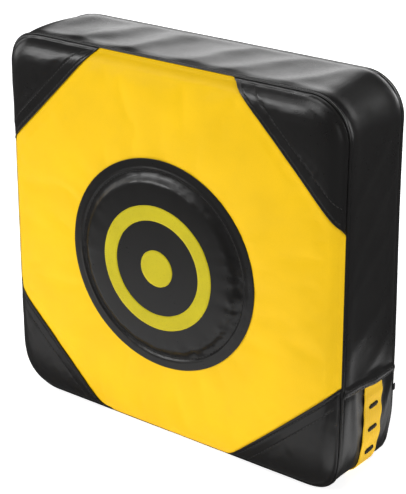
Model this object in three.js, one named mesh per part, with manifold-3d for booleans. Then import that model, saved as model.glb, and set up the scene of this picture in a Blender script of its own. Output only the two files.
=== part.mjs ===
// Square kick shield: crowned two-colour striking face with a round target pad, foam core, boxed gusset,
// bar-tacked webbing sling round the lower edge, and a back with a zip and two padded webbing handles.
// Millimetres. Every piece is drawn in the shield's own frame: x to the right, y up from the lower edge
// and z out of the striking face, with z = 0 at mid depth. The last lines stand it up with +Z up.
import * as THREE from 'three';
import { mergeVertices } from 'three/addons/utils/BufferGeometryUtils.js';
import Module from 'manifold-3d';

const wasm = await Module();
wasm.setup();

// Body
const SIDE = 500;
const CORNER_RADIUS = 55;
const DEPTH = 120;
const VINYL = 1.2;
const GAP = 0.3;
const ARC_STEPS = 4;

// Piped seams: the piping stands proud of the panels that it joins
const PIPING_WIDTH = 3.5;
const PIPING_THICKNESS = 3;
const PIPING_BEVEL = 0.8;
const PANEL_INSET = 2;

// Crowned faces: how far each stands out from its seam, and the width of its rounded edge
const FRONT_RISE = 22;
const BACK_RISE = 6;
const CROWN_EDGE = 28;
const CROWN_STEPS = 6;

// Length of each corner panel's legs along the shield's edges, as sewn round a 150 mm pattern
const CORNER_LEGS = { top_left: 150, top_right: 158, bottom_right: 155, bottom_left: 154 };

// Foam: three glued layers
const STRIKE_FOAM_REAR = 40;
const REAR_FOAM_FRONT = -40;

// Round target pad
const TARGET_RADIUS = 138.5;
const TARGET_PAD_RADIUS = 122.5;
const TARGET_TOP_RADIUS = 104;
const TARGET_RISE = 10.7;
const TARGET_STEPS = 48;
const RING_OUTER = 81.5;
const RING_INNER = 62;
const DOT_RADIUS = 24;
const PRINT_THICKNESS = 0.3;

// Gusset: its lap seams slope down towards the back
const SEAM_HEIGHT = 126;
const SEAM_SLOPE = 0.1;

// Webbing sling round the lower edge
const STRAP_WIDTH = 40;
const STRAP_CENTRE_Z = -10;
const STRAP_DROP = 3;
const STRAP_THICKNESS = PANEL_INSET - GAP;
const TACK_HEIGHTS = { upper: 95, middle: 63, lower: 33 };
const TACK_SIZE = { proud: 0.8, thickness: 4.5, length: 24 };

// Zip across the back
const ZIP_HEIGHT = 97;
const ZIP_SLOT = { halfLength: 191, halfWidth: 6.5 };
const ZIP_TAPE = { halfLength: 215, width: 14, thickness: 0.8 };
const TOOTH_PITCH = 5;
const TOOTH_COUNT = 73;
const TOOTH = { halfWidth: 1.05, tip: 1.2, root: 1.6, spine: 3.4, thickness: 2.5 };
const SLIDER = { length: 13, halfWidth: 5.5, channelHalfWidth: 3.9, running: 0.4, top: 1.3, closedX: 172 };
const BRIDGE = { halfLength: 4.7, halfWidth: 1.5, post: 1.2, clear: 2.4 };
const PULL = { barRadius: 0.9, halfWidth: 3.8, window: 2.1, windowLength: 6.2, length: 30, eyeRadius: 1.8 };
const STOP = { length: 4, centreX: 187 };
const END_TAB = { height: 10, thickness: 2, depth: 5 };

// Handles on the back
const HANDLE = { centreX: 105, width: 40, thickness: 2, bottom: 135, top: 395, standOff: 39 };
const HANDLE_ANCHOR = 40;
const HANDLE_SHOULDER = 30;
const SHOULDER_BEND = 0.35;
const SLEEVE = { width: 52, thickness: 16, length: 110 };
const PATCH = { width: 52, height: 60, radius: 6 };

const vinylBlack = { color: 0x2c2c2b, roughness: 0.45, metalness: 0 };
const vinylYellow = { color: 0xfdd21e, roughness: 0.45, metalness: 0 };
const printYellow = { color: 0xd0c11e, roughness: 0.5, metalness: 0 };
const foamGrey = { color: 0x8c8f93, roughness: 0.95, metalness: 0 };
const webbingYellow = { color: 0xf0c31e, roughness: 0.8, metalness: 0 };
const webbingBlack = { color: 0x1d1d1e, roughness: 0.85, metalness: 0 };
const threadBlack = { color: 0x151214, roughness: 0.7, metalness: 0 };
const plasticBlack = { color: 0x1a1a1b, roughness: 0.5, metalness: 0 };
const zipMetal = { color: 0x6f7174, roughness: 0.35, metalness: 1 };

const seamZ = DEPTH / 2;
const panelBase = seamZ + PIPING_THICKNESS / 2 + GAP;
const gussetHalf = seamZ - PIPING_THICKNESS / 2 - GAP;
const frontFace = seamZ + FRONT_RISE;
const backFace = seamZ + BACK_RISE;
const foamInset = PIPING_WIDTH + GAP;

const shield = new THREE.Group();

function addPiece(name, geometry, finish) {
  const piece = new THREE.Mesh(geometry, new THREE.MeshStandardMaterial(finish));
  piece.name = name;
  shield.add(piece);
  return piece;
}

// Boolean work: a geometry as a solid, and a solid as a geometry
function toSolid(geometry) {
  const bare = new THREE.BufferGeometry();
  bare.setAttribute('position', geometry.getAttribute('position'));
  bare.setIndex(geometry.getIndex());
  const merged = mergeVertices(bare, 1e-4);
  const vertProperties = new Float32Array(merged.getAttribute('position').array);
  const triVerts = new Uint32Array(merged.getIndex().array);
  return new wasm.Manifold(new wasm.Mesh({ numProp: 3, vertProperties, triVerts }));
}

function toGeometry(solid) {
  const mesh = solid.getMesh();
  const geometry = new THREE.BufferGeometry();
  geometry.setAttribute('position', new THREE.BufferAttribute(mesh.vertProperties, mesh.numProp));
  geometry.setIndex(new THREE.BufferAttribute(mesh.triVerts, 1));
  const flat = geometry.toNonIndexed();
  flat.computeVertexNormals();
  return flat;
}

// The shield's rounded square, drawn in by inset
function roundedSquare(shape, inset) {
  const radius = CORNER_RADIUS - inset;
  const reach = SIDE / 2 - CORNER_RADIUS;
  const low = CORNER_RADIUS;
  const high = SIDE - CORNER_RADIUS;
  shape.absarc(reach, low, radius, -Math.PI / 2, 0);
  shape.absarc(reach, high, radius, 0, Math.PI / 2);
  shape.absarc(-reach, high, radius, Math.PI / 2, Math.PI);
  shape.absarc(-reach, low, radius, Math.PI, 1.5 * Math.PI);
  shape.closePath();
  return shape;
}

function outline(inset) {
  return roundedSquare(new THREE.Shape(), inset);
}

function outlineRing(outerInset, innerInset) {
  const ring = outline(outerInset);
  ring.holes.push(roundedSquare(new THREE.Path(), innerInset));
  return ring;
}

// A straight prism of a shape between two heights along z
function prism(shape, low, high, curveSegments = ARC_STEPS) {
  const geometry = new THREE.ExtrudeGeometry(shape, {
    depth: high - low,
    bevelEnabled: false,
    curveSegments,
  });
  return geometry.translate(0, 0, low);
}

// A prism whose section is drawn in the z-y plane and that runs along x
function sidePrism(shape, centreX, width) {
  const geometry = new THREE.ExtrudeGeometry(shape, { depth: width, bevelEnabled: false });
  return geometry.rotateY(-Math.PI / 2).translate(centreX + width / 2, 0, 0);
}

function rectangle(shape, left, right, bottom, top) {
  shape.moveTo(left, bottom);
  shape.lineTo(right, bottom);
  shape.lineTo(right, top);
  shape.lineTo(left, top);
  shape.closePath();
  return shape;
}

function roundedRectangle(width, height, radius) {
  const shape = new THREE.Shape();
  const x = width / 2 - radius;
  const y = height / 2 - radius;
  shape.absarc(x, -y, radius, -Math.PI / 2, 0);
  shape.absarc(x, y, radius, 0, Math.PI / 2);
  shape.absarc(-x, y, radius, Math.PI / 2, Math.PI);
  shape.absarc(-x, -y, radius, Math.PI, 1.5 * Math.PI);
  shape.closePath();
  return shape;
}

// A block with a rounded front edge: straight walls up to base, then a quarter ellipse up to top
function crowned(inset, base, top, edge) {
  const rise = top - base;
  const geometry = new THREE.ExtrudeGeometry(outline(inset), {
    depth: DEPTH,
    bevelEnabled: true,
    bevelThickness: rise,
    bevelSize: edge,
    bevelOffset: -edge,
    bevelSegments: CROWN_STEPS,
    curveSegments: ARC_STEPS,
  });
  return toSolid(geometry.translate(0, 0, base - DEPTH));
}

function slab(low, high) {
  const margin = SIDE;
  const square = rectangle(new THREE.Shape(), -SIDE, SIDE, -margin, SIDE + margin);
  return toSolid(prism(square, low, high));
}

// A crowned vinyl skin on the front of its seam; the back one is this turned about
function skin(top) {
  const outer = crowned(PANEL_INSET, panelBase, top, CROWN_EDGE);
  const inner = crowned(PANEL_INSET + VINYL, panelBase, top - VINYL, CROWN_EDGE - VINYL);
  return outer.subtract(inner).intersect(slab(panelBase, SIDE));
}

function turnedAbout(solid) {
  return toSolid(toGeometry(solid).rotateY(Math.PI));
}

// Foam

function foamLayer(name, solid) {
  addPiece(name, toGeometry(solid), foamGrey);
}

function addFoam() {
  const edge = CROWN_EDGE - foamInset + PANEL_INSET;
  const front = crowned(foamInset, panelBase, frontFace - VINYL - GAP, edge);
  foamLayer('strike_foam', front.intersect(slab(STRIKE_FOAM_REAR, SIDE)));

  foamLayer('core_foam', toSolid(prism(outline(foamInset), REAR_FOAM_FRONT, STRIKE_FOAM_REAR - GAP)));

  const tapeFront = backFace - VINYL - GAP - ZIP_TAPE.thickness;
  const rear = crowned(foamInset, panelBase, tapeFront - GAP, edge);
  foamLayer('rear_foam', turnedAbout(rear.intersect(slab(GAP - REAR_FOAM_FRONT, SIDE))));
}

// Front cover: a yellow octagon and four black corner panels

function cornerPoints(corner, offset) {
  const leg = CORNER_LEGS[corner] + offset;
  const x = corner.endsWith('left') ? -1 : 1;
  const atTop = corner.startsWith('top');
  const edgeY = atTop ? SIDE : 0;
  const inward = atTop ? -1 : 1;
  return {
    onEdge: new THREE.Vector2(x * (SIDE / 2 - leg), edgeY),
    onSide: new THREE.Vector2((x * SIDE) / 2, edgeY + inward * leg),
    square: new THREE.Vector2((x * SIDE) / 2, edgeY),
  };
}

function cornerPrism({ onEdge, onSide, square }) {
  return toSolid(prism(new THREE.Shape([onEdge, square, onSide]), 0, SIDE));
}

function addFrontCover() {
  const cover = skin(frontFace);
  const clearance = (GAP / 2) * Math.SQRT2;
  let octagon = cover;
  for (const corner of Object.keys(CORNER_LEGS)) {
    const kept = cornerPoints(corner, clearance);
    octagon = octagon.subtract(cornerPrism(kept));
    const panel = cornerPrism(cornerPoints(corner, -clearance));
    addPiece('corner_panel_' + corner, toGeometry(cover.intersect(panel)), vinylBlack);
  }
  addPiece('front_panel', toGeometry(octagon), vinylYellow);
}

// Round target pad, turned about the face's centre

function padEdge(radius, topRadius, height) {
  const points = [];
  for (let step = 0; step <= CROWN_STEPS; step += 1) {
    const angle = ((step / CROWN_STEPS) * Math.PI) / 2;
    const across = topRadius + (radius - topRadius) * Math.cos(angle);
    points.push(new THREE.Vector2(across, height * Math.sin(angle)));
  }
  return points;
}

function lathed(name, points, base, finish) {
  const geometry = new THREE.LatheGeometry(points, TARGET_STEPS);
  geometry.rotateX(Math.PI / 2).translate(0, SIDE / 2, base);
  addPiece(name, toGeometry(toSolid(geometry)), finish);
}

function addTarget() {
  const base = frontFace + GAP;
  const underside = TARGET_RISE - VINYL;
  const inside = padEdge(TARGET_PAD_RADIUS - VINYL, TARGET_TOP_RADIUS, underside);
  const outside = padEdge(TARGET_PAD_RADIUS, TARGET_TOP_RADIUS, TARGET_RISE - VINYL);
  const coverProfile = [
    new THREE.Vector2(0, underside),
    ...inside.reverse(),
    new THREE.Vector2(TARGET_RADIUS, 0),
    new THREE.Vector2(TARGET_RADIUS, VINYL),
    ...outside.map((point) => new THREE.Vector2(point.x, point.y + VINYL)),
    new THREE.Vector2(0, TARGET_RISE),
  ];
  lathed('target_cover', coverProfile, base, vinylBlack);

  const foamTop = underside - GAP;
  const foamProfile = [
    new THREE.Vector2(0, 0),
    ...padEdge(TARGET_PAD_RADIUS - VINYL - GAP, TARGET_TOP_RADIUS - GAP, foamTop),
    new THREE.Vector2(0, foamTop),
  ];
  lathed('target_foam', foamProfile, base, foamGrey);

  const printBase = base + TARGET_RISE + GAP;
  const ring = new THREE.Shape().absarc(0, SIDE / 2, RING_OUTER, 0, 2 * Math.PI);
  ring.holes.push(new THREE.Path().absarc(0, SIDE / 2, RING_INNER, 0, 2 * Math.PI));
  const printTop = printBase + PRINT_THICKNESS;
  addPiece('target_ring', prism(ring, printBase, printTop, TARGET_STEPS / 2), printYellow);
  const dot = new THREE.Shape().absarc(0, SIDE / 2, DOT_RADIUS, 0, 2 * Math.PI);
  addPiece('bullseye_dot', prism(dot, printBase, printTop, TARGET_STEPS / 2), printYellow);
}

// Gusset and the webbing sling, both cut by the sloping line of the side seams

function belowSeam(drop) {
  const height = (z) => SEAM_HEIGHT + SEAM_SLOPE * z - drop;
  const section = new THREE.Shape();
  section.moveTo(-DEPTH, -DEPTH);
  section.lineTo(DEPTH, -DEPTH);
  section.lineTo(DEPTH, height(DEPTH));
  section.lineTo(-DEPTH, height(-DEPTH));
  section.closePath();
  return toSolid(sidePrism(section, 0, 2 * SIDE));
}

function addGusset() {
  const band = toSolid(prism(outlineRing(PANEL_INSET, PANEL_INSET + VINYL), -gussetHalf, gussetHalf));
  addPiece('gusset_upper', toGeometry(band.subtract(belowSeam(-GAP))), vinylBlack);
  addPiece('gusset_lower', toGeometry(band.intersect(belowSeam(0))), vinylBlack);
}

function addPiping() {
  for (const [name, z] of [['front_piping', seamZ], ['rear_piping', -seamZ]]) {
    const depth = PIPING_THICKNESS - 2 * PIPING_BEVEL;
    const geometry = new THREE.ExtrudeGeometry(outlineRing(0, PIPING_WIDTH), {
      depth,
      bevelEnabled: true,
      bevelThickness: PIPING_BEVEL,
      bevelSize: PIPING_BEVEL,
      bevelOffset: -PIPING_BEVEL,
      bevelSegments: 1,
      curveSegments: ARC_STEPS,
    });
    addPiece(name, geometry.translate(0, 0, z - depth / 2), vinylBlack);
  }
}

function addSling() {
  const low = STRAP_CENTRE_Z - STRAP_WIDTH / 2;
  const band = toSolid(prism(outlineRing(0, STRAP_THICKNESS), low, low + STRAP_WIDTH));
  addPiece('webbing_strap', toGeometry(band.intersect(belowSeam(STRAP_DROP))), webbingYellow);
}

// A bar tack lies across the strap, square to the outline where it sits
function addTack(name, side, height) {
  const below = Math.max(CORNER_RADIUS - height, 0);
  const angle = -Math.asin(below / CORNER_RADIUS);
  const reach = CORNER_RADIUS + GAP + TACK_SIZE.proud / 2;
  const centreX = SIDE / 2 - CORNER_RADIUS + reach * Math.cos(angle);
  const centreY = below > 0 ? CORNER_RADIUS + reach * Math.sin(angle) : height;
  const geometry = new THREE.BoxGeometry(TACK_SIZE.proud, TACK_SIZE.thickness, TACK_SIZE.length);
  const tack = addPiece(name, geometry, threadBlack);
  tack.position.set(side * centreX, centreY, STRAP_CENTRE_Z);
  tack.rotation.z = side * angle;
}

function addTacks() {
  for (const [place, height] of Object.entries(TACK_HEIGHTS)) {
    addTack('bar_tack_right_' + place, 1, height);
    addTack('bar_tack_left_' + place, -1, height);
  }
}

// Back cover, split along the zip's slot

function backHalf(side) {
  const { halfLength, halfWidth } = ZIP_SLOT;
  const line = ZIP_HEIGHT + (side * GAP) / 2;
  const lip = ZIP_HEIGHT + side * halfWidth;
  const far = side > 0 ? 2 * SIDE : -SIDE;
  const half = new THREE.Shape();
  half.moveTo(-SIDE, far);
  half.lineTo(-SIDE, line);
  half.lineTo(-halfLength, line);
  half.lineTo(-halfLength, lip);
  half.lineTo(halfLength, lip);
  half.lineTo(halfLength, line);
  half.lineTo(SIDE, line);
  half.lineTo(SIDE, far);
  half.closePath();
  return toSolid(prism(half, -SIDE, SIDE));
}

function addBackCover() {
  const cover = turnedAbout(skin(backFace));
  addPiece('back_panel_upper', toGeometry(cover.intersect(backHalf(1))), vinylBlack);
  addPiece('back_panel_lower', toGeometry(cover.intersect(backHalf(-1))), vinylBlack);
}

// Zip: depths are measured outwards from the back face, so z = -(backFace + depth)

function behind(depth) {
  return -(backFace + depth);
}

const tapeOuter = -VINYL - GAP;
const toothInner = tapeOuter + GAP;
const toothOuter = toothInner + TOOTH.thickness;
const plateInner = toothOuter + SLIDER.running;
const plateOuter = plateInner + SLIDER.top;
const pullAxis = plateOuter + BRIDGE.clear / 2;

function addTape(name, side) {
  const { halfLength, width, thickness } = ZIP_TAPE;
  const edges = [ZIP_HEIGHT + side * GAP, ZIP_HEIGHT + side * width];
  const strip = rectangle(new THREE.Shape(), -halfLength, halfLength, Math.min(...edges), Math.max(...edges));
  addPiece(name, prism(strip, behind(tapeOuter), behind(tapeOuter - thickness)), webbingBlack);
}

// One row of teeth on its cord; the two rows interlock, half a pitch apart
function addTeeth(name, side, shift) {
  const comb = new THREE.Shape();
  const first = -((TOOTH_COUNT - 1) * TOOTH_PITCH) / 2 + shift;
  comb.moveTo(first - TOOTH.halfWidth, TOOTH.spine);
  for (let index = 0; index < TOOTH_COUNT; index += 1) {
    const x = first + index * TOOTH_PITCH;
    comb.lineTo(x - TOOTH.halfWidth, -TOOTH.tip);
    comb.lineTo(x + TOOTH.halfWidth, -TOOTH.tip);
    if (index < TOOTH_COUNT - 1) {
      comb.lineTo(x + TOOTH.halfWidth, TOOTH.root);
      comb.lineTo(x + TOOTH_PITCH - TOOTH.halfWidth, TOOTH.root);
    }
  }
  comb.lineTo(first + (TOOTH_COUNT - 1) * TOOTH_PITCH + TOOTH.halfWidth, TOOTH.spine);
  comb.closePath();
  const row = prism(comb, behind(toothOuter), behind(toothInner));
  if (side < 0) {
    const middle = (behind(toothOuter) + behind(toothInner)) / 2;
    row.translate(0, 0, -middle).rotateX(Math.PI).translate(0, 0, middle);
  }
  addPiece(name, row.translate(0, ZIP_HEIGHT, 0), plasticBlack);
}

function addStops() {
  for (const [name, side] of [['zip_stop_right', 1], ['zip_stop_left', -1]]) {
    const stop = new THREE.BoxGeometry(STOP.length, 2 * TOOTH.spine, TOOTH.thickness);
    const piece = addPiece(name, stop, zipMetal);
    piece.position.set(side * STOP.centreX, ZIP_HEIGHT, behind((toothInner + toothOuter) / 2));
  }
}

// The slider is a cap over both rows of teeth, with a bridge on top that holds the pull
function addSlider() {
  const { length, halfWidth, channelHalfWidth, closedX } = SLIDER;
  const skirt = toothInner;
  const channel = new THREE.Shape();
  channel.moveTo(behind(skirt), -halfWidth);
  channel.lineTo(behind(skirt), -channelHalfWidth);
  channel.lineTo(behind(plateInner), -channelHalfWidth);
  channel.lineTo(behind(plateInner), channelHalfWidth);
  channel.lineTo(behind(skirt), channelHalfWidth);
  channel.lineTo(behind(skirt), halfWidth);
  channel.lineTo(behind(plateOuter), halfWidth);
  channel.lineTo(behind(plateOuter), -halfWidth);
  channel.closePath();
  const cap = toSolid(sidePrism(channel, 0, length));

  const inner = BRIDGE.halfLength - BRIDGE.post;
  const foot = plateOuter - SLIDER.top / 2;
  const underBridge = plateOuter + BRIDGE.clear;
  const arch = new THREE.Shape();
  arch.moveTo(-BRIDGE.halfLength, foot);
  arch.lineTo(-inner, foot);
  arch.lineTo(-inner, underBridge);
  arch.lineTo(inner, underBridge);
  arch.lineTo(inner, foot);
  arch.lineTo(BRIDGE.halfLength, foot);
  arch.lineTo(BRIDGE.halfLength, underBridge + BRIDGE.post);
  arch.lineTo(-BRIDGE.halfLength, underBridge + BRIDGE.post);
  arch.closePath();
  const bridge = prism(arch, -BRIDGE.halfWidth, BRIDGE.halfWidth);
  bridge.rotateX(-Math.PI / 2).translate(0, 0, -backFace);

  const slider = addPiece('zip_slider', toGeometry(cap.add(toSolid(bridge))), zipMetal);
  slider.position.set(closedX, ZIP_HEIGHT, 0);
}

// The pull hangs from the bridge by a round crossbar and lies along the closed teeth
function addPull() {
  const { barRadius, halfWidth, window, windowLength, length, eyeRadius } = PULL;
  const tab = new THREE.Shape();
  tab.moveTo(0, -halfWidth);
  tab.lineTo(0, halfWidth);
  tab.lineTo(halfWidth - length, halfWidth);
  tab.absarc(halfWidth - length, 0, halfWidth, Math.PI / 2, 1.5 * Math.PI);
  tab.closePath();
  tab.holes.push(rectangle(new THREE.Path(), -windowLength, -barRadius / 2, -window, window));
  tab.holes.push(new THREE.Path().absarc(halfWidth - length, 0, eyeRadius, 0, 2 * Math.PI));
  const bar = new THREE.CylinderGeometry(barRadius, barRadius, 2 * halfWidth, 4 * ARC_STEPS);
  const solid = toSolid(prism(tab, -barRadius, barRadius)).add(toSolid(bar));
  const pull = addPiece('zip_pull', toGeometry(solid), zipMetal);
  pull.position.set(SLIDER.closedX, ZIP_HEIGHT, behind(pullAxis));
}

// Folded ends of the zip's tape, caught in the rear seam
function addEndTabs() {
  for (const [name, side] of [['zip_end_tab_right', 1], ['zip_end_tab_left', -1]]) {
    const { thickness, height, depth } = END_TAB;
    const tab = addPiece(name, new THREE.BoxGeometry(thickness, height, depth), webbingBlack);
    const x = SIDE / 2 - PANEL_INSET + GAP + thickness / 2;
    tab.position.set(side * x, ZIP_HEIGHT, -(panelBase + depth / 2));
  }
}

// Handles: webbing loops standing off the back, each through a padded sleeve

const patchOuter = GAP + VINYL;

function handleLine() {
  const low = patchOuter + GAP + HANDLE.thickness / 2;
  const rising = low + SHOULDER_BEND * HANDLE.standOff;
  const rest = HANDLE.bottom + HANDLE_ANCHOR;
  const mirror = (y) => HANDLE.bottom + HANDLE.top - y;
  return [
    [HANDLE.bottom, low],
    [rest, low],
    [rest + HANDLE_SHOULDER / 2, rising],
    [rest + HANDLE_SHOULDER, HANDLE.standOff],
    [mirror(rest + HANDLE_SHOULDER), HANDLE.standOff],
    [mirror(rest + HANDLE_SHOULDER / 2), rising],
    [mirror(rest), low],
    [mirror(HANDLE.bottom), low],
  ];
}

// Both edges of a band of even thickness along a line of points, as one closed outline
function band(points, thickness) {
  const near = [];
  const far = [];
  points.forEach(([along, depth], index) => {
    const [beforeAlong, beforeDepth] = points[Math.max(index - 1, 0)];
    const [afterAlong, afterDepth] = points[Math.min(index + 1, points.length - 1)];
    const direction = new THREE.Vector2(afterAlong - beforeAlong, afterDepth - beforeDepth).normalize();
    const aside = direction.clone().rotateAround(new THREE.Vector2(), Math.PI / 2);
    near.push([along - (aside.x * thickness) / 2, depth - (aside.y * thickness) / 2]);
    far.unshift([along + (aside.x * thickness) / 2, depth + (aside.y * thickness) / 2]);
  });
  const corners = [...near, ...far];
  return new THREE.Shape(corners.map(([along, depth]) => new THREE.Vector2(behind(depth), along)));
}

function addHandles() {
  const middle = (HANDLE.bottom + HANDLE.top) / 2;
  for (const [place, side] of [['right', 1], ['left', -1]]) {
    const x = side * HANDLE.centreX;
    const loop = band(handleLine(), HANDLE.thickness);
    addPiece('handle_webbing_' + place, sidePrism(loop, x, HANDLE.width), webbingBlack);

    const sleeve = roundedRectangle(SLEEVE.width, SLEEVE.thickness, SLEEVE.thickness / 2.5);
    const passage = new THREE.Path();
    const clearX = HANDLE.width / 2 + GAP;
    const clearZ = HANDLE.thickness / 2 + GAP;
    sleeve.holes.push(rectangle(passage, -clearX, clearX, -clearZ, clearZ));
    const tube = prism(sleeve, -SLEEVE.length / 2, SLEEVE.length / 2);
    tube.rotateX(Math.PI / 2).translate(x, middle, behind(HANDLE.standOff));
    addPiece('handle_sleeve_' + place, tube, vinylBlack);

    for (const [end, y] of [['lower', HANDLE.bottom], ['upper', HANDLE.top - HANDLE_ANCHOR]]) {
      const patch = prism(roundedRectangle(PATCH.width, PATCH.height, PATCH.radius), 0, VINYL);
      patch.translate(x, y + HANDLE_ANCHOR / 2, behind(patchOuter));
      addPiece('handle_patch_' + place + '_' + end, patch, vinylBlack);
    }
  }
}

addFoam();
addFrontCover();
addTarget();
addGusset();
addPiping();
addSling();
addTacks();
addBackCover();
addTape('zip_tape_upper', 1);
addTape('zip_tape_lower', -1);
addTeeth('zip_teeth_upper', 1, 0);
addTeeth('zip_teeth_lower', -1, TOOTH_PITCH / 2);
addStops();
addSlider();
addPull();
addEndTabs();
addHandles();

// Stand the shield up: +Z up, the striking face towards -Y
shield.rotation.x = Math.PI / 2;

export default shield;
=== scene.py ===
import math

import bmesh
import bpy
import numpy as np
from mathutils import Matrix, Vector


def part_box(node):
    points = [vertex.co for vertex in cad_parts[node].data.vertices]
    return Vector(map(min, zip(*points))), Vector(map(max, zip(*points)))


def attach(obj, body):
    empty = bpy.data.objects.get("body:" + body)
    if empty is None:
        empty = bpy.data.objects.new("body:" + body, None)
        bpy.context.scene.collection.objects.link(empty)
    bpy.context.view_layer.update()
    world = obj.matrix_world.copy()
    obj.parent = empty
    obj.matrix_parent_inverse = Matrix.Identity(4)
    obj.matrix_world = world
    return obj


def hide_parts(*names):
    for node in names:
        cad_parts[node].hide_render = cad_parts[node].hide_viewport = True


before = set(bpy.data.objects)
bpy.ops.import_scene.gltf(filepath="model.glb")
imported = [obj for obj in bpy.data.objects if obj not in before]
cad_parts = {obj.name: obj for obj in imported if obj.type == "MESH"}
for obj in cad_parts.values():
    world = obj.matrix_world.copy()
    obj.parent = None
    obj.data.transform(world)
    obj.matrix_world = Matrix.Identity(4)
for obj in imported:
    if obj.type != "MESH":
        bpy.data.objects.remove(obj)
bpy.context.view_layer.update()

MM = 0.001

X, Y, Z = range(3)

# ---- sizes, from the frame where it has them


def size_of(node, axis):
    low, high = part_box(node)
    return high[axis] - low[axis]


def centre_of(node, axis):
    low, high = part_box(node)
    return (high[axis] + low[axis]) / 2


HALF = size_of("front_piping", X) / 2
CENTRE_Z = centre_of("front_piping", Z)
FRONT_SEAM = centre_of("front_piping", Y)
REAR_SEAM = centre_of("rear_piping", Y)
CORNER = 55 * MM
PIPING_RADIUS = 1.7 * MM
PANEL_INSET = 1.9 * MM
BACK_INSET = 4.4 * MM
REAR_PIPING_BACK = 1.4 * MM
REAR_PIPING_INSET = 2.9 * MM
VINYL = 1.0 * MM

# Legs of each corner panel along the shield's top or bottom edge and along its side, and its seam's bow
CORNER_LEGS = {
    "top_left": (-1, 1, 149 * MM, 150 * MM, 2.5 * MM),
    "top_right": (1, 1, 158 * MM, 160 * MM, -7 * MM),
    "bottom_right": (1, -1, 160 * MM, 150 * MM, -1.5 * MM),
    "bottom_left": (-1, -1, 154 * MM, 155 * MM, 6.5 * MM),
}

TARGET_RADIUS = size_of("target_cover", X) / 2
PAD_RADIUS = 121.5 * MM
RING_OUTER = 81.5 * MM
RING_INNER = 62 * MM
DOT_OUTER = 24 * MM
DOT_INNER = 0.8 * MM

STITCH_PITCH = 5.5 * MM
STITCH_RADIUS = 0.6 * MM
HANDLE_PITCH = 3.6 * MM
HANDLE_STITCH_RADIUS = 0.45 * MM
SEWN_ROWS = (4.2 * MM, 16 * MM)
FLANGE_STITCH = 122.6 * MM

SEAM_HEIGHT = 126 * MM
SEAM_SLOPE = 0.1
HEM = 11 * MM
HEM_ROWS = (2.6 * MM, 8.4 * MM)
LOWER_TUCK = 8 * MM

STRAP_WIDTH = size_of("webbing_strap", Y)
STRAP_Y = centre_of("webbing_strap", Y)
STRAP_THICKNESS = 1.7 * MM
STRAP_TUCK = 6 * MM
STRAP_STEP = 2.2 * MM
STRAP_INSET = STRAP_THICKNESS + 0.1 * MM
TACK_WIDTH = 18 * MM
TACK_HEIGHT = 6.6 * MM
TACK_THREADS = 21
TACK_THREAD_RADIUS = 0.8 * MM

ZIP_Z = (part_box("zip_teeth_lower")[0].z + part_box("zip_teeth_upper")[1].z) / 2
SLOT_HALF_LENGTH = 191 * MM
SLOT_HALF_HEIGHT = 6.5 * MM

# Spacing of the points along the front panels' edges and the gusset, and along the back panels' edges
FRONT_STEP = 3.2 * MM
BACK_STEP = 4 * MM

# ---- small helpers


def smoothstep(value, low, high):
    t = np.clip((value - low) / (high - low), 0, 1)
    return t * t * (3 - 2 * t)


def bump(value, centre, half_width):
    """A smooth hump of height 1 that falls to nothing half_width away from its centre."""
    t = np.clip(1 - ((value - centre) / half_width) ** 2, 0, 1)
    return t * t


HASH_STEPS = (127.1, 311.7, 74.7)
HASH_SCALE = 43758.5453


def hash_noise(x, y, seed):
    """Repeatable value noise on a grid of whole numbers, from 0 to 1."""
    n = np.sin(x * HASH_STEPS[0] + y * HASH_STEPS[1] + seed * HASH_STEPS[2]) * HASH_SCALE
    return n - np.floor(n)


def noise(x, y, size, seed=0):
    """Smooth value noise from -1 to 1 whose cells are size across."""
    x, y = np.asarray(x) / size, np.asarray(y) / size
    xi, yi = np.floor(x), np.floor(y)
    tx, ty = x - xi, y - yi
    tx, ty = tx * tx * (3 - 2 * tx), ty * ty * (3 - 2 * ty)
    low = hash_noise(xi, yi, seed) * (1 - tx) + hash_noise(xi + 1, yi, seed) * tx
    high = hash_noise(xi, yi + 1, seed) * (1 - tx) + hash_noise(xi + 1, yi + 1, seed) * tx
    return 2 * (low * (1 - ty) + high * ty) - 1


def turns(count):
    """Even angles round a circle."""
    return np.linspace(0, 2 * np.pi, count, endpoint=False)


def xyz(x, y, z):
    """Points from their coordinates, any of which may be one number for them all."""
    return np.stack(np.broadcast_arrays(x, y, z), axis=-1)


def unit(vectors):
    return vectors / np.linalg.norm(vectors, axis=1)[:, None]


def make_object(name, points, faces, smooth=True):
    """A mesh from its points, given as one list or as rows of equal length."""
    mesh = bpy.data.meshes.new(name)
    mesh.from_pydata(np.reshape(points, (-1, 3)).tolist(), [], faces)
    mesh.validate()
    mesh.update()
    obj = bpy.data.objects.new(name, mesh)
    bpy.context.scene.collection.objects.link(obj)
    for polygon in mesh.polygons:
        polygon.use_smooth = smooth
    return obj


# Corners that bulge: side, up, and how square each is at the front seam and at the rear one, 2 being round
FULL_CORNERS = ((1, -1, 3.3, 6.0), (-1, 1, 2.6, 3.0))
FRONT_SPREAD = 3.2 * MM
REAR_SPREAD = 6.5 * MM
TARGET_SHIFT = (2.0 * MM, -4.9 * MM)


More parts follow.
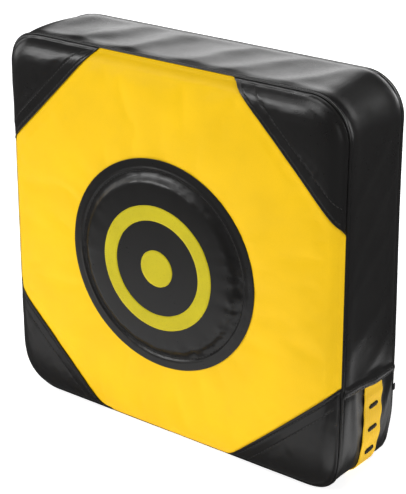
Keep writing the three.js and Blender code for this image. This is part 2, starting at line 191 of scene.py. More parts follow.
def stuffed(x, y, z):
    """Where a point of the even shape ends up once the pad is stuffed and has stood on its edge."""
    depth = np.clip((y - FRONT_SEAM) / (REAR_SEAM - FRONT_SEAM), 0, 1)
    low = smoothstep(z, 0, 70 * MM) * (1 - smoothstep(z, 80 * MM, 420 * MM))
    spread = (FRONT_SPREAD + (REAR_SPREAD - FRONT_SPREAD) * depth) * low
    new_x = x + spread * np.sign(x) * np.abs(x / HALF) ** 4
    new_z = z.copy()
    for side, up, front, rear in FULL_CORNERS:
        across = np.maximum(side * x - (HALF - CORNER), 0)
        rise = np.maximum(up * (z - CENTRE_Z) - (HALF - CORNER), 0)
        reach = np.maximum(np.hypot(across, rise), 1e-9)
        power = front + (rear - front) * depth
        stretch = ((across / reach) ** power + (rise / reach) ** power + (reach < 1e-6)) ** (-1 / power)
        new_x += side * across * (stretch - 1)
        new_z += up * rise * (stretch - 1)
    radius = np.hypot(x, z - CENTRE_Z)
    in_front = 1 - smoothstep(y, FRONT_SEAM - 8 * MM, FRONT_SEAM + 30 * MM)
    hung = in_front * (1 - smoothstep(radius, 140 * MM, 225 * MM))
    return new_x + TARGET_SHIFT[0] * hung, new_z + TARGET_SHIFT[1] * hung


def settle(obj, slot, *nodes, padded=None, look=None):
    """Hands a finished piece over: its look, picked by its slot name unless look names another, its place in
    the stuffed pad, its body, and the nodes it replaces, which are hidden.
    """
    obj.data.materials.append(LOOKS[look or slot])
    flat = np.zeros(len(obj.data.vertices) * 3)
    obj.data.vertices.foreach_get("co", flat)
    x, y, z = flat.reshape(-1, 3).T
    x, z = stuffed(x, y, z)
    obj.data.vertices.foreach_set("co", xyz(x, y, z).ravel())
    obj.data.update()
    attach(obj, "shield")
    if nodes:
        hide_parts(*nodes)


def thicken(obj, thickness=VINYL):
    """Gives a sheet its thickness, on the inside."""
    modifier = obj.modifiers.new("thickness", "SOLIDIFY")
    modifier.thickness = thickness
    modifier.offset = -1
    bpy.context.view_layer.update()
    graph = bpy.context.evaluated_depsgraph_get()
    mesh = bpy.data.meshes.new_from_object(obj.evaluated_get(graph))
    obj.modifiers.clear()
    obj.data = mesh


def grid_faces(rows, columns, closed=False, flip=False, ring=False):
    """Quads between rows of points; closed joins the last column to the first, and ring the last row."""
    faces = []
    for r in range(rows if ring else rows - 1):
        for c in range(columns if closed else columns - 1):
            n, d = (r + 1) % rows, (c + 1) % columns
            quad = (r * columns + c, r * columns + d, n * columns + d, n * columns + c)
            faces.append(quad[::-1] if flip else quad)
    return faces


def tube(name, rings, smooth=True):
    """A closed body through rings of points, with a face over each end."""
    count, columns = len(rings), len(rings[0])
    faces = grid_faces(count, columns, closed=True)
    faces.append(tuple(range(columns)))
    faces.append(tuple(range((count - 1) * columns, count * columns)))
    obj = make_object(name, rings, faces, smooth)
    mesh = bmesh.new()
    mesh.from_mesh(obj.data)
    bmesh.ops.recalc_face_normals(mesh, faces=mesh.faces)
    mesh.to_mesh(obj.data)
    mesh.free()
    return obj


def repeated(name, copies, shape_faces):
    """One piece made of many copies of a shape, given by each copy's points."""
    size = len(copies[0])
    faces = [tuple(k * size + i for i in face) for k in range(len(copies)) for face in shape_faces]
    return make_object(name, copies, faces)


# ---- the outline and the crowned face


def inset_distance(x, z):
    """How far inside the shield's rounded outline a point of the face lies."""
    across = np.abs(x) - (HALF - CORNER)
    up = np.abs(z - CENTRE_Z) - (HALF - CORNER)
    outside = np.hypot(np.maximum(across, 0), np.maximum(up, 0))
    inside = np.minimum(np.maximum(across, up), 0)
    return CORNER - outside - inside


def outline_at(distance, inset=0.0):
    """Points and outward normals on the outline, by distance round it from the middle of the lower edge."""
    reach = HALF - CORNER
    arc = CORNER * math.pi / 2
    side = 2 * reach
    lap = 4 * (side + arc)
    s = np.mod(np.asarray(distance, float) + reach, lap)
    quarter = np.minimum(np.floor(s / (side + arc)), 3)
    local = s - quarter * (side + arc)
    turn = np.clip(local - side, 0, arc) / CORNER
    nx, nz = np.sin(turn), -np.cos(turn)
    x = np.minimum(local, side) - reach + (CORNER - inset) * nx
    z = (CORNER - inset) * nz - reach
    c, d = np.cos(quarter * math.pi / 2), np.sin(quarter * math.pi / 2)
    return c * x - d * z, d * x + c * z + CENTRE_Z, c * nx - d * nz, d * nx + c * nz


LAP = 4 * (2 * (HALF - CORNER) + CORNER * math.pi / 2)


def profile(points, soften):
    """A smooth curve through (distance, height) points in millimetres, as a function in metres."""
    reach = np.arange(0, 300, 0.1)
    known = np.array(points, float)
    height = np.interp(reach, known[:, 0], known[:, 1])
    kernel = np.exp(-0.5 * (np.arange(-40, 41) * 0.1 / soften) ** 2)
    kernel /= kernel.sum()
    padded_height = np.concatenate([np.full(40, height[0]), height, np.full(40, height[-1])])
    soft = np.convolve(padded_height, kernel, "valid")
    return lambda distance: np.interp(distance / MM, reach, soft) * MM


# How the striking face climbs from its seam: a rolled edge, a flat flange, the padded rim, then a low dome
BLACK_CROWN = profile(
    [(0, 0), (1.2, 0.6), (2.2, 2.4), (4.2, 3.3), (5.2, 3.2), (6.6, 4.6), (8.6, 7.8), (11, 10.6), (14, 13)]
    + [(18, 15), (24, 16.6), (32, 17.8), (50, 18.8), (80, 19.8), (110, 20.8), (150, 21.2)],
    0.7,
)
YELLOW_CROWN = profile(
    [(0, 0), (1.2, 0.8), (2.5, 2.8), (4.5, 4.6), (6.5, 6.2), (9, 8.8), (12, 11.2), (16, 13.2), (24, 15.4)]
    + [(34, 17), (50, 18.2), (80, 19.6), (110, 20.8), (150, 21.2)],
    0.9,
)
FACE_RISE = float(BLACK_CROWN(HALF))
BACK_CROWN = profile(
    [(0, 0), (1.2, 0.6), (2.2, 2.2), (4.4, 2.9), (5.4, 2.6), (9, 3.2), (16, 4.9), (26, 5.9), (40, 6.1)],
    0.45,
)


def seam_line(corner):
    """A corner seam's two ends, and the unit normal that points to the corner."""
    side, up, edge_leg, side_leg, _ = CORNER_LEGS[corner]
    a = np.array([side * (HALF - edge_leg), CENTRE_Z + up * HALF])
    b = np.array([side * HALF, CENTRE_Z + up * (HALF - side_leg)])
    along = (b - a) / np.linalg.norm(b - a)
    normal = np.array([along[1], -along[0]])
    if normal[0] * side < 0:
        normal = -normal
    return a, b, normal


def seam_bow(corner, x, z):
    """How far the seam bows away from its corner beside a point."""
    a, b, _ = seam_line(corner)
    along = b - a
    t = np.clip(((x - a[0]) * along[0] + (z - a[1]) * along[1]) / (along @ along), 0, 1)
    return CORNER_LEGS[corner][4] * 4 * t * (1 - t)


def seam_distance(corner, x, z):
    a, _, normal = seam_line(corner)
    return (x - a[0]) * normal[0] + (z - a[1]) * normal[1] + seam_bow(corner, x, z)


def nearest_seam(x, z):
    """Signed distance past the nearest corner seam: positive on a corner panel."""
    return np.max([seam_distance(corner, x, z) for corner in CORNER_LEGS], axis=0)


def pucker(distance, along, reach, size, seed):
    """Short gathers that a line of stitches pulls into the fabric beside it."""
    return noise(along, distance * 0.35, size, seed) * np.exp(-np.abs(distance) / reach)


def along_outline(x, z):
    """A coordinate that runs round the shield, for gathers along its seams."""
    return np.arctan2(z - CENTRE_Z, x) * 0.3


# ---- cloth: how the covers settle over the foam

SHEET_STEP = 6 * MM
SIM_FRAMES = 24
FACE_SHEET_HALF = 264 * MM
PAD_SHEET_HALF = 138 * MM
CLOTH = {
    "quality": 6,
    "mass": 0.5,
    "tension_stiffness": 30,
    "compression_stiffness": 30,
    "shear_stiffness": 12,
    "air_damping": 4,
    "vertex_group_mass": "held",
    "use_pressure": True,
}


def simulate_sheet(name, height, hold, extent, slack, pressure, bending):
    """Runs a flat cut sheet over the foam and returns how far it lifts, as a function of place."""
    count = int(round(2 * extent / SHEET_STEP)) + 1
    axis = np.linspace(-extent, extent, count)
    gx, gz = np.meshgrid(axis, axis)
    x, z = gx.ravel(), gz.ravel() + CENTRE_Z
    start = -height(x, z)
    seedling = noise(x, z, 31 * MM, 5) * 0.25 * MM
    obj = make_object(name, xyz(x, start - seedling, z), grid_faces(count, count))
    held = obj.vertex_groups.new(name="held")
    weights = hold(x, z)
    for index in np.nonzero(weights > 0)[0]:
        held.add([int(index)], float(weights[index]), "REPLACE")
    cloth = obj.modifiers.new("cloth", "CLOTH")
    settings = cloth.settings
    for key, value in CLOTH.items():
        setattr(settings, key, value)
    settings.bending_stiffness = bending
    settings.shrink_min = -slack
    settings.uniform_pressure_force = pressure
    settings.effector_weights.gravity = 0
    cloth.point_cache.frame_start = 1
    cloth.point_cache.frame_end = SIM_FRAMES
    scene = bpy.context.scene
    for number in range(1, SIM_FRAMES + 1):
        scene.frame_set(number)
    graph = bpy.context.evaluated_depsgraph_get()
    settled = obj.evaluated_get(graph).to_mesh()
    moved = np.zeros(len(settled.vertices) * 3, np.float32)
    settled.vertices.foreach_get("co", moved)
    lift = (start - moved.reshape(-1, 3)[:, 1]).astype(float)
    obj.evaluated_get(graph).to_mesh_clear()
    scene.frame_set(1)
    bpy.data.objects.remove(obj)
    table = lift.reshape(count, count)
    return lambda x, z: sample(table, (x + extent) / SHEET_STEP, (z - CENTRE_Z + extent) / SHEET_STEP)


def catmull_rom(t):
    """The weights of four neighbours for a place between the middle two."""
    return (
        -0.5 * t + t * t - 0.5 * t**3,
        1 - 2.5 * t * t + 1.5 * t**3,
        0.5 * t + 2 * t * t - 1.5 * t**3,
        -0.5 * t * t + 0.5 * t**3,
    )


def sample(table, column, row):
    """Smooth reading of a table at fractional places."""
    rows, columns = table.shape
    column = np.clip(column, 1, columns - 2.001)
    row = np.clip(row, 1, rows - 2.001)
    ci, ri = np.floor(column).astype(int), np.floor(row).astype(int)
    down, across = catmull_rom(row - ri), catmull_rom(column - ci)
    return sum(down[i] * across[j] * table[ri + i - 1, ci + j - 1] for i in range(4) for j in range(4))


def held_on_face(x, z):
    edge = inset_distance(x, z) < 13 * MM
    sewn = np.abs(nearest_seam(x, z) - 8 * MM) < 9 * MM
    under_target = np.hypot(x, z - CENTRE_Z) < TARGET_RADIUS - 6 * MM
    return (edge | sewn | under_target).astype(float)


def held_on_pad(x, z):
    return (np.hypot(x, z - CENTRE_Z) > PAD_RADIUS - 4 * MM).astype(float)


def no_lift(x, z):
    return np.zeros_like(np.asarray(x, float))


face_lift = simulate_sheet(
    "face_sheet",
    lambda x, z: BLACK_CROWN(inset_distance(x, z)),
    held_on_face,
    FACE_SHEET_HALF,
    slack=0.006,
    pressure=2.2,
    bending=3.0,
)
pad_lift = simulate_sheet(
    "pad_sheet", no_lift, held_on_pad, PAD_SHEET_HALF, slack=0.008, pressure=2.0, bending=2.0
)

FACE_LIFT_CAP = 4.5 * MM
PAD_LIFT_CAP = 5 * MM


def capped(value, cap):
    return cap * np.tanh(value / cap)


# ---- the striking face


def face_waves(x, z):
    """The settled cover's waves, held down beside its seams and edges."""
    free = smoothstep(inset_distance(x, z), 10 * MM, 30 * MM)
    beside_seam = np.abs(nearest_seam(x, z) - 8 * MM)
    free = free * smoothstep(beside_seam, 9 * MM, 26 * MM)
    free = free * smoothstep(np.hypot(x, z - CENTRE_Z), TARGET_RADIUS - 10 * MM, TARGET_RADIUS + 12 * MM)
    broad = noise(x + 0.7 * z, z, 95 * MM, 3) * 0.8 + noise(x, z - x, 48 * MM, 4) * 0.42
    return (0.6 * capped(face_lift(x, z), FACE_LIFT_CAP) + broad * MM) * free


def crown(inset, past_seam):
    """The yellow face's edge turns into the corner panel's flatter one across their seam."""
    share = smoothstep(past_seam, -16 * MM, 14 * MM)
    return YELLOW_CROWN(inset) * (1 - share) + BLACK_CROWN(inset) * share


def black_height(x, z):
    inset = inset_distance(x, z)
    past_seam = nearest_seam(x, z)
    height = crown(inset, past_seam)
    folded = np.clip(1 - past_seam / (1.6 * MM), 0, 1)
    height = height + 1.3 * MM * np.sqrt(1 - folded**2)
    for row in SEWN_ROWS:
        height = height - 0.55 * MM * bump(past_seam, row, 1.6 * MM)
    height = height + 0.9 * MM * smoothstep(past_seam, 16 * MM, 30 * MM) * smoothstep(inset, 10 * MM, 24 * MM)
    tug = pucker(past_seam - SEWN_ROWS[1], x - z, 7 * MM, 8 * MM, 11) * 0.7 * MM
    tug = tug + pucker(past_seam - SEWN_ROWS[0], x - z, 6 * MM, 6 * MM, 13) * 0.5 * MM
    tug = tug + pucker(inset - 5 * MM, along_outline(x, z), 5 * MM, 9 * MM, 12) * 0.5 * MM
    return height + face_waves(x, z) + tug * smoothstep(past_seam, 2 * MM, 5 * MM)


def yellow_height(x, z):
    inset = inset_distance(x, z)
    past_seam = nearest_seam(x, z)
    height = crown(inset, past_seam)
    height = height - 0.15 * MM * bump(inset, 6.5 * MM, 1.8 * MM)
    height = height - 1.1 * MM * smoothstep(past_seam, -3.5 * MM, 1 * MM)
    tug = pucker(past_seam, x - z, 6 * MM, 8 * MM, 21) * 0.2 * MM
    tug = tug + pucker(inset - 6 * MM, along_outline(x, z), 7 * MM, 11 * MM, 22) * 0.35 * MM
    return height + face_waves(x, z) + tug * smoothstep(inset, 3 * MM, 7 * MM)


EDGE_ROWS = [0, 0.35, 0.7, 1.1, 1.6, 2.1, 2.6, 3.1, 3.6, 4.2, 4.9, 5.6, 6.4, 7.4, 8.6, 10, 11.5, 13]
EDGE_ROWS += [14.3, 15.3, 16.2, 17.2, 18.5, 20.5]


MIN_SLANT = 0.45
EDGE_SHARE = 0.55


def star_panel(name, boundary, centre, height, seam_y, direction, middle_rows, core=0.0):
    """A panel drawn in from its boundary towards a centre: fine rows beside the edge, then even ones.

    Heights are measured from the seam plane along direction, -1 for the striking face and 1 for the back.
    """
    edge = np.array(boundary)
    tangent = unit(np.roll(edge, -1, axis=0) - np.roll(edge, 1, axis=0))
    inward = np.stack([-tangent[:, 1], tangent[:, 0]], axis=1)
    to_centre = np.array(centre) - edge
    reach = np.linalg.norm(to_centre, axis=1)
    ray = to_centre / reach[:, None]
    slant = np.clip(np.abs(np.sum(ray * inward, axis=1)), MIN_SLANT, 1)
    limit = EDGE_SHARE * (reach - core)
    offsets = [limit * np.tanh(row * MM / slant / limit) for row in EDGE_ROWS]
    last = offsets[-1]
    shares = np.arange(1, middle_rows + (core > 0)) / middle_rows
    offsets += [last + (reach - core - last) * share for share in shares]
    rows = [edge + ray * offset[:, None] for offset in offsets]
    x, z = np.concatenate(rows).T
    faces = grid_faces(len(rows), len(edge), closed=True, flip=direction > 0)
    cap = tuple(range(len(x) - len(edge), len(x)))
    faces.append(cap[::-1] if direction > 0 else cap)
    return make_object(name, xyz(x, seam_y + direction * height(x, z), z), faces)


def crossing(corner, on_side, inset, shift):
    """Where a corner seam, moved by shift towards its corner, meets the inset outline."""
    a, b, normal = seam_line(corner)
    side, up, *_ = CORNER_LEGS[corner]
    a, b = a + normal * shift, b + normal * shift
    along = b - a
    if on_side:
        t = (side * (HALF - inset) - a[0]) / along[0]
    else:
        t = (CENTRE_Z + up * (HALF - inset) - a[1]) / along[1]
    return a + along * t


def seam_run(corner, start, end, count):
    """Even points along a seam's bowed line between two of its points, the last one left out."""
    _, _, normal = seam_line(corner)
    t = np.linspace(0, 1, count, endpoint=False)[:, None]
    straight = start + (end - start) * t
    return straight - normal * seam_bow(corner, straight[:, 0], straight[:, 1])[:, None]


SEAM_POINTS = 68
BEND_POINTS = 26
PANEL_CENTRE = 50 * MM
CORNER_RINGS = 16
FRONT_RINGS = 34
FRONT_CORE = 92 * MM
UNDERLAP = 1 * MM


def corner_panel(corner):
    side, up, *_ = CORNER_LEGS[corner]
    on_edge = crossing(corner, False, PANEL_INSET, 0)
    on_side = crossing(corner, True, PANEL_INSET, 0)
    turn = np.linspace(0, math.pi / 2, BEND_POINTS)
    bend_x = HALF - CORNER + (CORNER - PANEL_INSET) * np.cos(turn)
    bend_z = HALF - CORNER + (CORNER - PANEL_INSET) * np.sin(turn)
    bend = np.stack([side * bend_x, CENTRE_Z + up * bend_z], axis=1)
    boundary = np.concatenate(
        [
            seam_run(corner, on_edge, on_side, SEAM_POINTS),
            path_run(on_side, bend[0]),
            bend[:-1],
            path_run(bend[-1], on_edge),
        ]
    )
    if side * up < 0:
        boundary = boundary[::-1]
    _, _, normal = seam_line(corner)
    centre = (on_edge + on_side) / 2 + normal * PANEL_CENTRE
    panel = star_panel("corner_" + corner, boundary, centre, black_height, FRONT_SEAM, -1, CORNER_RINGS)
    thicken(panel)
    settle(panel, "black_vinyl", "corner_panel_" + corner, padded=0.9)


def path_run(a, b):
    """Points along a straight edge, closer together at both ends, the last one left out."""
    length = np.linalg.norm(np.subtract(b, a))
    t = np.linspace(0, 1, max(3, int(length / FRONT_STEP)), endpoint=False)
    t = t - 0.11 * np.sin(2 * np.pi * t)
    return np.array(a) + np.outer(t, np.subtract(b, a))


def yellow_panel():
    order = ["bottom_right", "top_right", "top_left", "bottom_left"]
    runs = []
    for corner, following in zip(order, order[1:] + order[:1]):
        from_side = CORNER_LEGS[corner][0] * CORNER_LEGS[corner][1] > 0
        to_side = CORNER_LEGS[following][0] * CORNER_LEGS[following][1] > 0
        first = crossing(corner, from_side, PANEL_INSET, UNDERLAP)
        second = crossing(corner, not from_side, PANEL_INSET, UNDERLAP)
        third = crossing(following, to_side, PANEL_INSET, UNDERLAP)
        runs.append(seam_run(corner, first, second, SEAM_POINTS))
        runs.append(path_run(second, third))
    boundary = np.concatenate(runs)
    panel = star_panel(
        "front_octagon", boundary, (0.0, CENTRE_Z), yellow_height, FRONT_SEAM, -1, FRONT_RINGS, FRONT_CORE
    )
    thicken(panel)
    settle(panel, "yellow_vinyl", "front_panel", padded=0.9)


# ---- the target

PAD_PROFILE = profile(
    [(0, 8.0), (60, 7.9), (100, 7.8), (107, 7.7), (110, 7.2), (112, 6.0), (114, 4.2), (117, 2.2)]
    + [(120.4, 0.9), (122.6, 0.4), (123.6, 1.2), (124.8, 2.6), (126.2, 2.4), (128, 1.5), (136, 1.5)]
    + [(137.5, 1.2), (150, 0.9)],
    0.45,
)


def pad_height(x, z):
    """Height of the target's cover above the seam plane: the face below it plus its own padding."""
    radius = np.hypot(x, z - CENTRE_Z)
    angle = np.arctan2(z - CENTRE_Z, x)
    lower_right = 0.35 + 0.65 * smoothstep(np.cos(angle + 0.5), -0.1, 0.8)
    around = angle * PAD_RADIUS
    gathers = noise(around, radius * 0.2, 9 * MM, 31) + 0.5 * noise(around, radius, 5 * MM, 32)
    wall = np.exp(-(((radius - 115 * MM) / (8 * MM)) ** 2))
    flange = np.exp(-(((radius - 128 * MM) / (4 * MM)) ** 2))
    lift = 0.3 * capped(pad_lift(x, z), PAD_LIFT_CAP)
    lift = lift * smoothstep(-radius, -PAD_RADIUS, -PAD_RADIUS + 12 * MM)
    broad = noise(x + 3 * MM, z, 74 * MM, 33) * 0.25 * MM * smoothstep(-radius, -118 * MM, -100 * MM)
    own = PAD_PROFILE(radius) + lift + broad
    own = own + gathers * lower_right * (1.7 * wall + 0.25 * flange) * MM
    return BLACK_CROWN(inset_distance(x, z)) + own


TARGET_RINGS = [137.6, 137.4, 136.9, 136.2, 134, 130.5, 128.5, 127, 126, 125.2, 124.5, 123.9, 123.3, 122.7]
TARGET_RINGS += [122.1, 121.5, 120.8, 120, 119, 118, 117, 116, 114.8, 113.5, 112, 110.5, 109, 107, 105, 102.5]
TARGET_RINGS += [100, *np.linspace(96, 1.5, 24)]
TARGET_COLUMNS = 256
PRINT_COLUMNS = 192
PRINT_STEP = 2.4 * MM
PRINT_LIFT = 0.16 * MM
PRINT_THICKNESS = 0.12 * MM
SMALLEST_HOLE = 2 * MM


def polar_sheet(name, radii, columns, wobble=0.0, lift=0.0):
    """A sheet over the target, in rings from the outside in."""
    angle = turns(columns)
    rows = []
    for radius in radii:
        reach = radius + wobble * noise(np.cos(angle) * 3, np.sin(angle) * 3, 0.4, int(radius * 1000))
        x, z = reach * np.cos(angle), CENTRE_Z + reach * np.sin(angle)
        rows.append(xyz(x, FRONT_SEAM - pad_height(x, z) - lift, z))
    faces = grid_faces(len(radii), columns, closed=True)
    if radii[-1] < SMALLEST_HOLE:
        faces.append(tuple(range((len(radii) - 1) * columns, len(radii) * columns)))
    return make_object(name, rows, faces)


def target_cover():
    cover = polar_sheet("target_disc_cover", np.array(TARGET_RINGS) * MM, TARGET_COLUMNS)
    thicken(cover)
    settle(cover, "black_vinyl", "target_cover", padded=0.9)


def print_film(name, node, inner, outer):
    """A thin layer of printed ink that follows the target's surface."""
    rows = np.linspace(outer, inner, max(5, int((outer - inner) / PRINT_STEP)))
    film = polar_sheet(name, rows, PRINT_COLUMNS, wobble=0.12 * MM, lift=PRINT_LIFT)
    thicken(film, PRINT_THICKNESS)
    settle(film, "yellow_print", node)


# ---- stitches


def stitch_shape(length, radius):
    """One stitch lying along x and standing up along z."""
    sides = 6
    stations = ((-0.5, 0.4, -0.7), (-0.38, 0.95, -0.1), (0, 1.05, 0.2), (0.38, 0.95, -0.1), (0.5, 0.4, -0.7))
    points = []
    for along, swell, height in stations:
        for turn in turns(sides):
            y, z = swell * math.cos(turn), swell * math.sin(turn) + height
            points.append((along * length, radius * y, radius * z))
    faces = grid_faces(len(stations), sides, closed=True, flip=True)
    faces.append(tuple(range(sides)))
    faces.append(tuple(range(len(points) - sides, len(points)))[::-1])
    return np.array(points), faces


def walk(points, normals, pitch):
    """Centres, directions and normals of the stitches along a path of points."""
    points, normals = np.asarray(points, float), np.asarray(normals, float)
    steps = np.linalg.norm(np.diff(points, axis=0), axis=1)
    travelled = np.concatenate([[0], np.cumsum(steps)])
    count = max(1, int(travelled[-1] / pitch))
    gap = travelled[-1] / count
    centres = (np.arange(count) + 0.5) * gap

    def at(distance, values):
        return np.stack([np.interp(distance, travelled, values[:, k]) for k in range(3)], axis=1)

    ahead = unit(at(centres + 0.3 * gap, points) - at(centres - 0.3 * gap, points))
    up = at(centres, normals)
    up = unit(up - ahead * np.sum(up * ahead, axis=1)[:, None])
    return at(centres, points), ahead, up


def sew(name, rows, pitch=STITCH_PITCH, radius=STITCH_RADIUS):
    """Joins every stitch of the given rows of (points, normals) into one piece."""
    shape, shape_faces = stitch_shape(pitch * 0.8, radius)
    copies = []
    for path, normals in rows:
        for centre, ahead, up in zip(*walk(path, normals, pitch)):
            copies.append(centre + shape @ np.stack([ahead, np.cross(up, ahead), up]))
    settle(repeated(name, copies, shape_faces), "black_thread")


def on_face(flat, height, seam_y=FRONT_SEAM, direction=-1):
    """Points of a face row and the normals there."""
    x, z = np.asarray(flat, float).T
    step = 0.6 * MM
    slope_x = (height(x + step, z) - height(x - step, z)) / (2 * step)
    slope_z = (height(x, z + step) - height(x, z - step)) / (2 * step)
    return xyz(x, seam_y + direction * height(x, z), z), unit(xyz(-slope_x, direction, -slope_z))


def corner_rows(corner):
    """Two rows along the corner's seam."""
    rows = []
    for offset in SEWN_ROWS:
        start = crossing(corner, False, 6 * MM, offset)
        end = crossing(corner, True, 6 * MM, offset)
        rows.append(on_face(seam_run(corner, start, end, 80), black_height))
    return rows


def target_row():
    angle = np.linspace(0, 2 * np.pi, 240)
    flat = np.stack([FLANGE_STITCH * np.cos(angle), CENTRE_Z + FLANGE_STITCH * np.sin(angle)], axis=1)
    return on_face(flat, pad_height)


# ---- the gusset

SIDE_RUN = 2 * (HALF - CORNER) + CORNER * math.pi / 2


def right_side(z):
    """Distance round the outline of a height on the right side."""
    return SIDE_RUN + z - CENTRE_Z


def left_side(z):
    return 3 * SIDE_RUN - (z - CENTRE_Z)


def seam_height(y):
    return SEAM_HEIGHT - SEAM_SLOPE * y


TOP_FOLDS = 8
TOP_FOLD_PITCH = 79 * MM
FIRST_TOP_FOLD = -206 * MM
TOP_FOLD_DEPTH = 4.1 * MM
TOP_FOLD_FADE = 0.3 * MM
SIDE_FOLDS = 5
SIDE_FOLD_PITCH = 66 * MM
SIDE_FOLD_DEPTH = 1.1 * MM
SIDE_FOLD_WIDTH = 15 * MM


def crest(value, width):
    return np.exp(-np.abs(value / width) ** 1.7)


def gusset_folds(s, y):
    """Loose diagonal folds: broad ones over the top, fainter ones down the sides."""
    x, z, _, _ = outline_at(s)
    on_top = smoothstep(z, CENTRE_Z + HALF - 30 * MM, CENTRE_Z + HALF - 4 * MM)
    total = np.zeros_like(s)
    for k in range(TOP_FOLDS):
        centre = FIRST_TOP_FOLD + k * TOP_FOLD_PITCH + 9 * MM * math.sin(2.4 * k)
        strength = TOP_FOLD_DEPTH - k * TOP_FOLD_FADE
        lean = (0.42 + 0.16 * math.sin(1.7 * k + 0.6)) * (y - REAR_SEAM * 0.2)
        wander = 5 * MM * noise(y, s, 38 * MM, 40 + k)
        total += on_top * strength * crest(x - centre - lean - wander, (22 + 5 * math.sin(3.1 * k)) * MM)
    for side, seed in ((1, 60), (-1, 70)):
        on_side = smoothstep(side * x, HALF - 22 * MM, HALF - 3 * MM)
        for k in range(SIDE_FOLDS):
            centre = (150 + 8 * math.sin(2.2 * k + seed)) * MM + k * SIDE_FOLD_PITCH
            lean = (0.75 + 0.25 * math.sin(1.3 * k + seed)) * y
            wander = 6 * MM * noise(y, s, 40 * MM, seed + k)
            total += on_side * SIDE_FOLD_DEPTH * crest(z - centre - lean - wander, SIDE_FOLD_WIDTH)
    total += 0.35 * MM * noise(s + 0.5 * y, y, 46 * MM, 81) + 0.18 * MM * noise(s, y, 17 * MM, 82)
    return total


def gusset_lift(s, y):
    """How far the gusset stands out from its cut line: rolled ribs at both seams, a slight belly, folds."""
    _, z, nx, nz = outline_at(s)
    beside = np.minimum(y - FRONT_SEAM, REAR_SEAM - y)
    in_front = y < 0
    rib = 1.5 * MM * bump(beside, 3.1 * MM, 1.9 * MM)
    rib = rib - 0.8 * MM * (1 - smoothstep(beside, 1.2 * MM, 2.4 * MM))
    valley = 0.8 * MM * bump(beside, 5.8 * MM, 1.7 * MM)
    turned = -3.0 * MM * (1 - smoothstep(beside, -0.5 * MM, 4.5 * MM)) ** 2
    rib = np.where(in_front, rib, turned)
    valley = np.where(in_front, valley, 0.25 * MM * bump(beside, 7 * MM, 2 * MM))
    slack = smoothstep(beside, 5 * MM, 17 * MM)
    free = 0.3 + 0.7 * smoothstep(beside, 5 * MM, 30 * MM)
    strapped = (1 - smoothstep(z, 118 * MM, 150 * MM)) * bump(y, STRAP_Y, 1.9 * STRAP_WIDTH)
    folds = (gusset_folds(s, y) - 1.6 * MM) * slack * free
    belly = 1.5 * MM * slack
    turning = smoothstep(np.minimum(np.abs(nx), np.abs(nz)), 0.05, 0.5)
    tugs = (0.3 + 0.5 * turning) * MM * noise(s, y, 7 * MM, 83)
    tugs = tugs * np.exp(-(((beside - 5 * MM) / (4 * MM)) ** 2))
    return rib - valley + tugs + (belly + folds) * (1 - strapped)


def hem_lift(s, y):
    """The upper gusset's folded hem, which laps over the lower gusset and the strap."""
    _, z, _, _ = outline_at(s)
    above = z - seam_height(y)
    folded = 2.6 * MM * (1 - smoothstep(above, HEM - 0.5 * MM, HEM + 0.5 * MM))
    rolled = 0.9 * MM * (1 - np.clip(above / (1.2 * MM), 0, 1)) ** 2
    over_strap = 2.4 * MM * bump(y, STRAP_Y, 0.8 * STRAP_WIDTH) * (1 - smoothstep(above, 9 * MM, 20 * MM))
    stitched = sum(0.8 * MM * bump(above, row, 1.5 * MM) for row in HEM_ROWS)
    gathers = 0.6 * MM * noise(y, above * 0.3, 8 * MM, 84) * bump(above, 4 * MM, 14 * MM)
    return folded - rolled + over_strap - stitched + gathers


def upper_lift(s, y):
    return gusset_lift(s, y) + hem_lift(s, y)


# Folds beside the strap: depth at mid height, lean, height, width
STRAP_FOLDS = (
    (39 * MM, 0.3, 3.0 * MM, 4.5 * MM),
    (49 * MM, 0.12, 1.6 * MM, 4 * MM),
    (-27 * MM, -0.12, 1.8 * MM, 6 * MM),
)


def lower_lift(s, y):
    _, z, _, _ = outline_at(s)
    beside_strap = 0.0
    for centre, slope, size, width in STRAP_FOLDS:
        ridge = crest(y - centre - slope * (z - 80 * MM), width)
        beside_strap = beside_strap + size * ridge * smoothstep(z, 22 * MM, 45 * MM)
    beside = np.minimum(y - FRONT_SEAM, REAR_SEAM - y)
    clear = smoothstep(np.abs(y - STRAP_Y), 0.52 * STRAP_WIDTH, 0.75 * STRAP_WIDTH)
    clear = clear * smoothstep(beside, 4 * MM, 10 * MM)
    tucked = 0.6 * MM * smoothstep(z - seam_height(y), -9 * MM, 1 * MM)
    return gusset_lift(s, y) + beside_strap * clear - tucked


SEAM_GAPS = [1.5, 1.8, 2.1, 2.5, 2.9, 3.3, 3.7, 4.1, 4.6, 5.2, 5.8, 6.5, 7.4, 8.6, 10.2, 12.5, 15.5, 19]
SEAM_GAPS += [23, 27.5, 32, 36.5, 41, 46, 51, 56]


def gusset_rows():
    gaps = np.array(SEAM_GAPS) * MM
    rear = np.concatenate([[0.0, 0.7 * MM], gaps])
    return np.concatenate([FRONT_SEAM + gaps, (REAR_SEAM - rear)[::-1]])


def wrap(s, y, lift, inset=PANEL_INSET):
    """The point of the gusset at a distance round the outline, a depth and a lift."""
    x, z, nx, nz = outline_at(s, inset)
    return xyz(x + nx * lift, y, z + nz * lift)


def gusset_sheet(name, node, start, end, lift):
    """start and end give the distance round the outline of each row's two ends."""
    rows = gusset_rows()
    columns = int(abs(end(0.0) - start(0.0)) / FRONT_STEP)
    share = np.linspace(0, 1, columns)
    share = share - 0.012 * np.sin(2 * np.pi * share)
    points = []
    for y in rows:
        s = start(y) + (end(y) - start(y)) * share
        depth = np.full_like(s, y)
        points.append(wrap(s, depth, lift(s, depth)))
    sheet = make_object(name, points, grid_faces(len(rows), columns, flip=True))
    thicken(sheet)
    settle(sheet, "black_vinyl", node)


def gusset_path(s, y, lift):
    """A row of places on the gusset with the normals there."""
    _, _, nx, nz = outline_at(s)
    return wrap(s, y, lift(s, y)), xyz(nx, 0.0, nz)


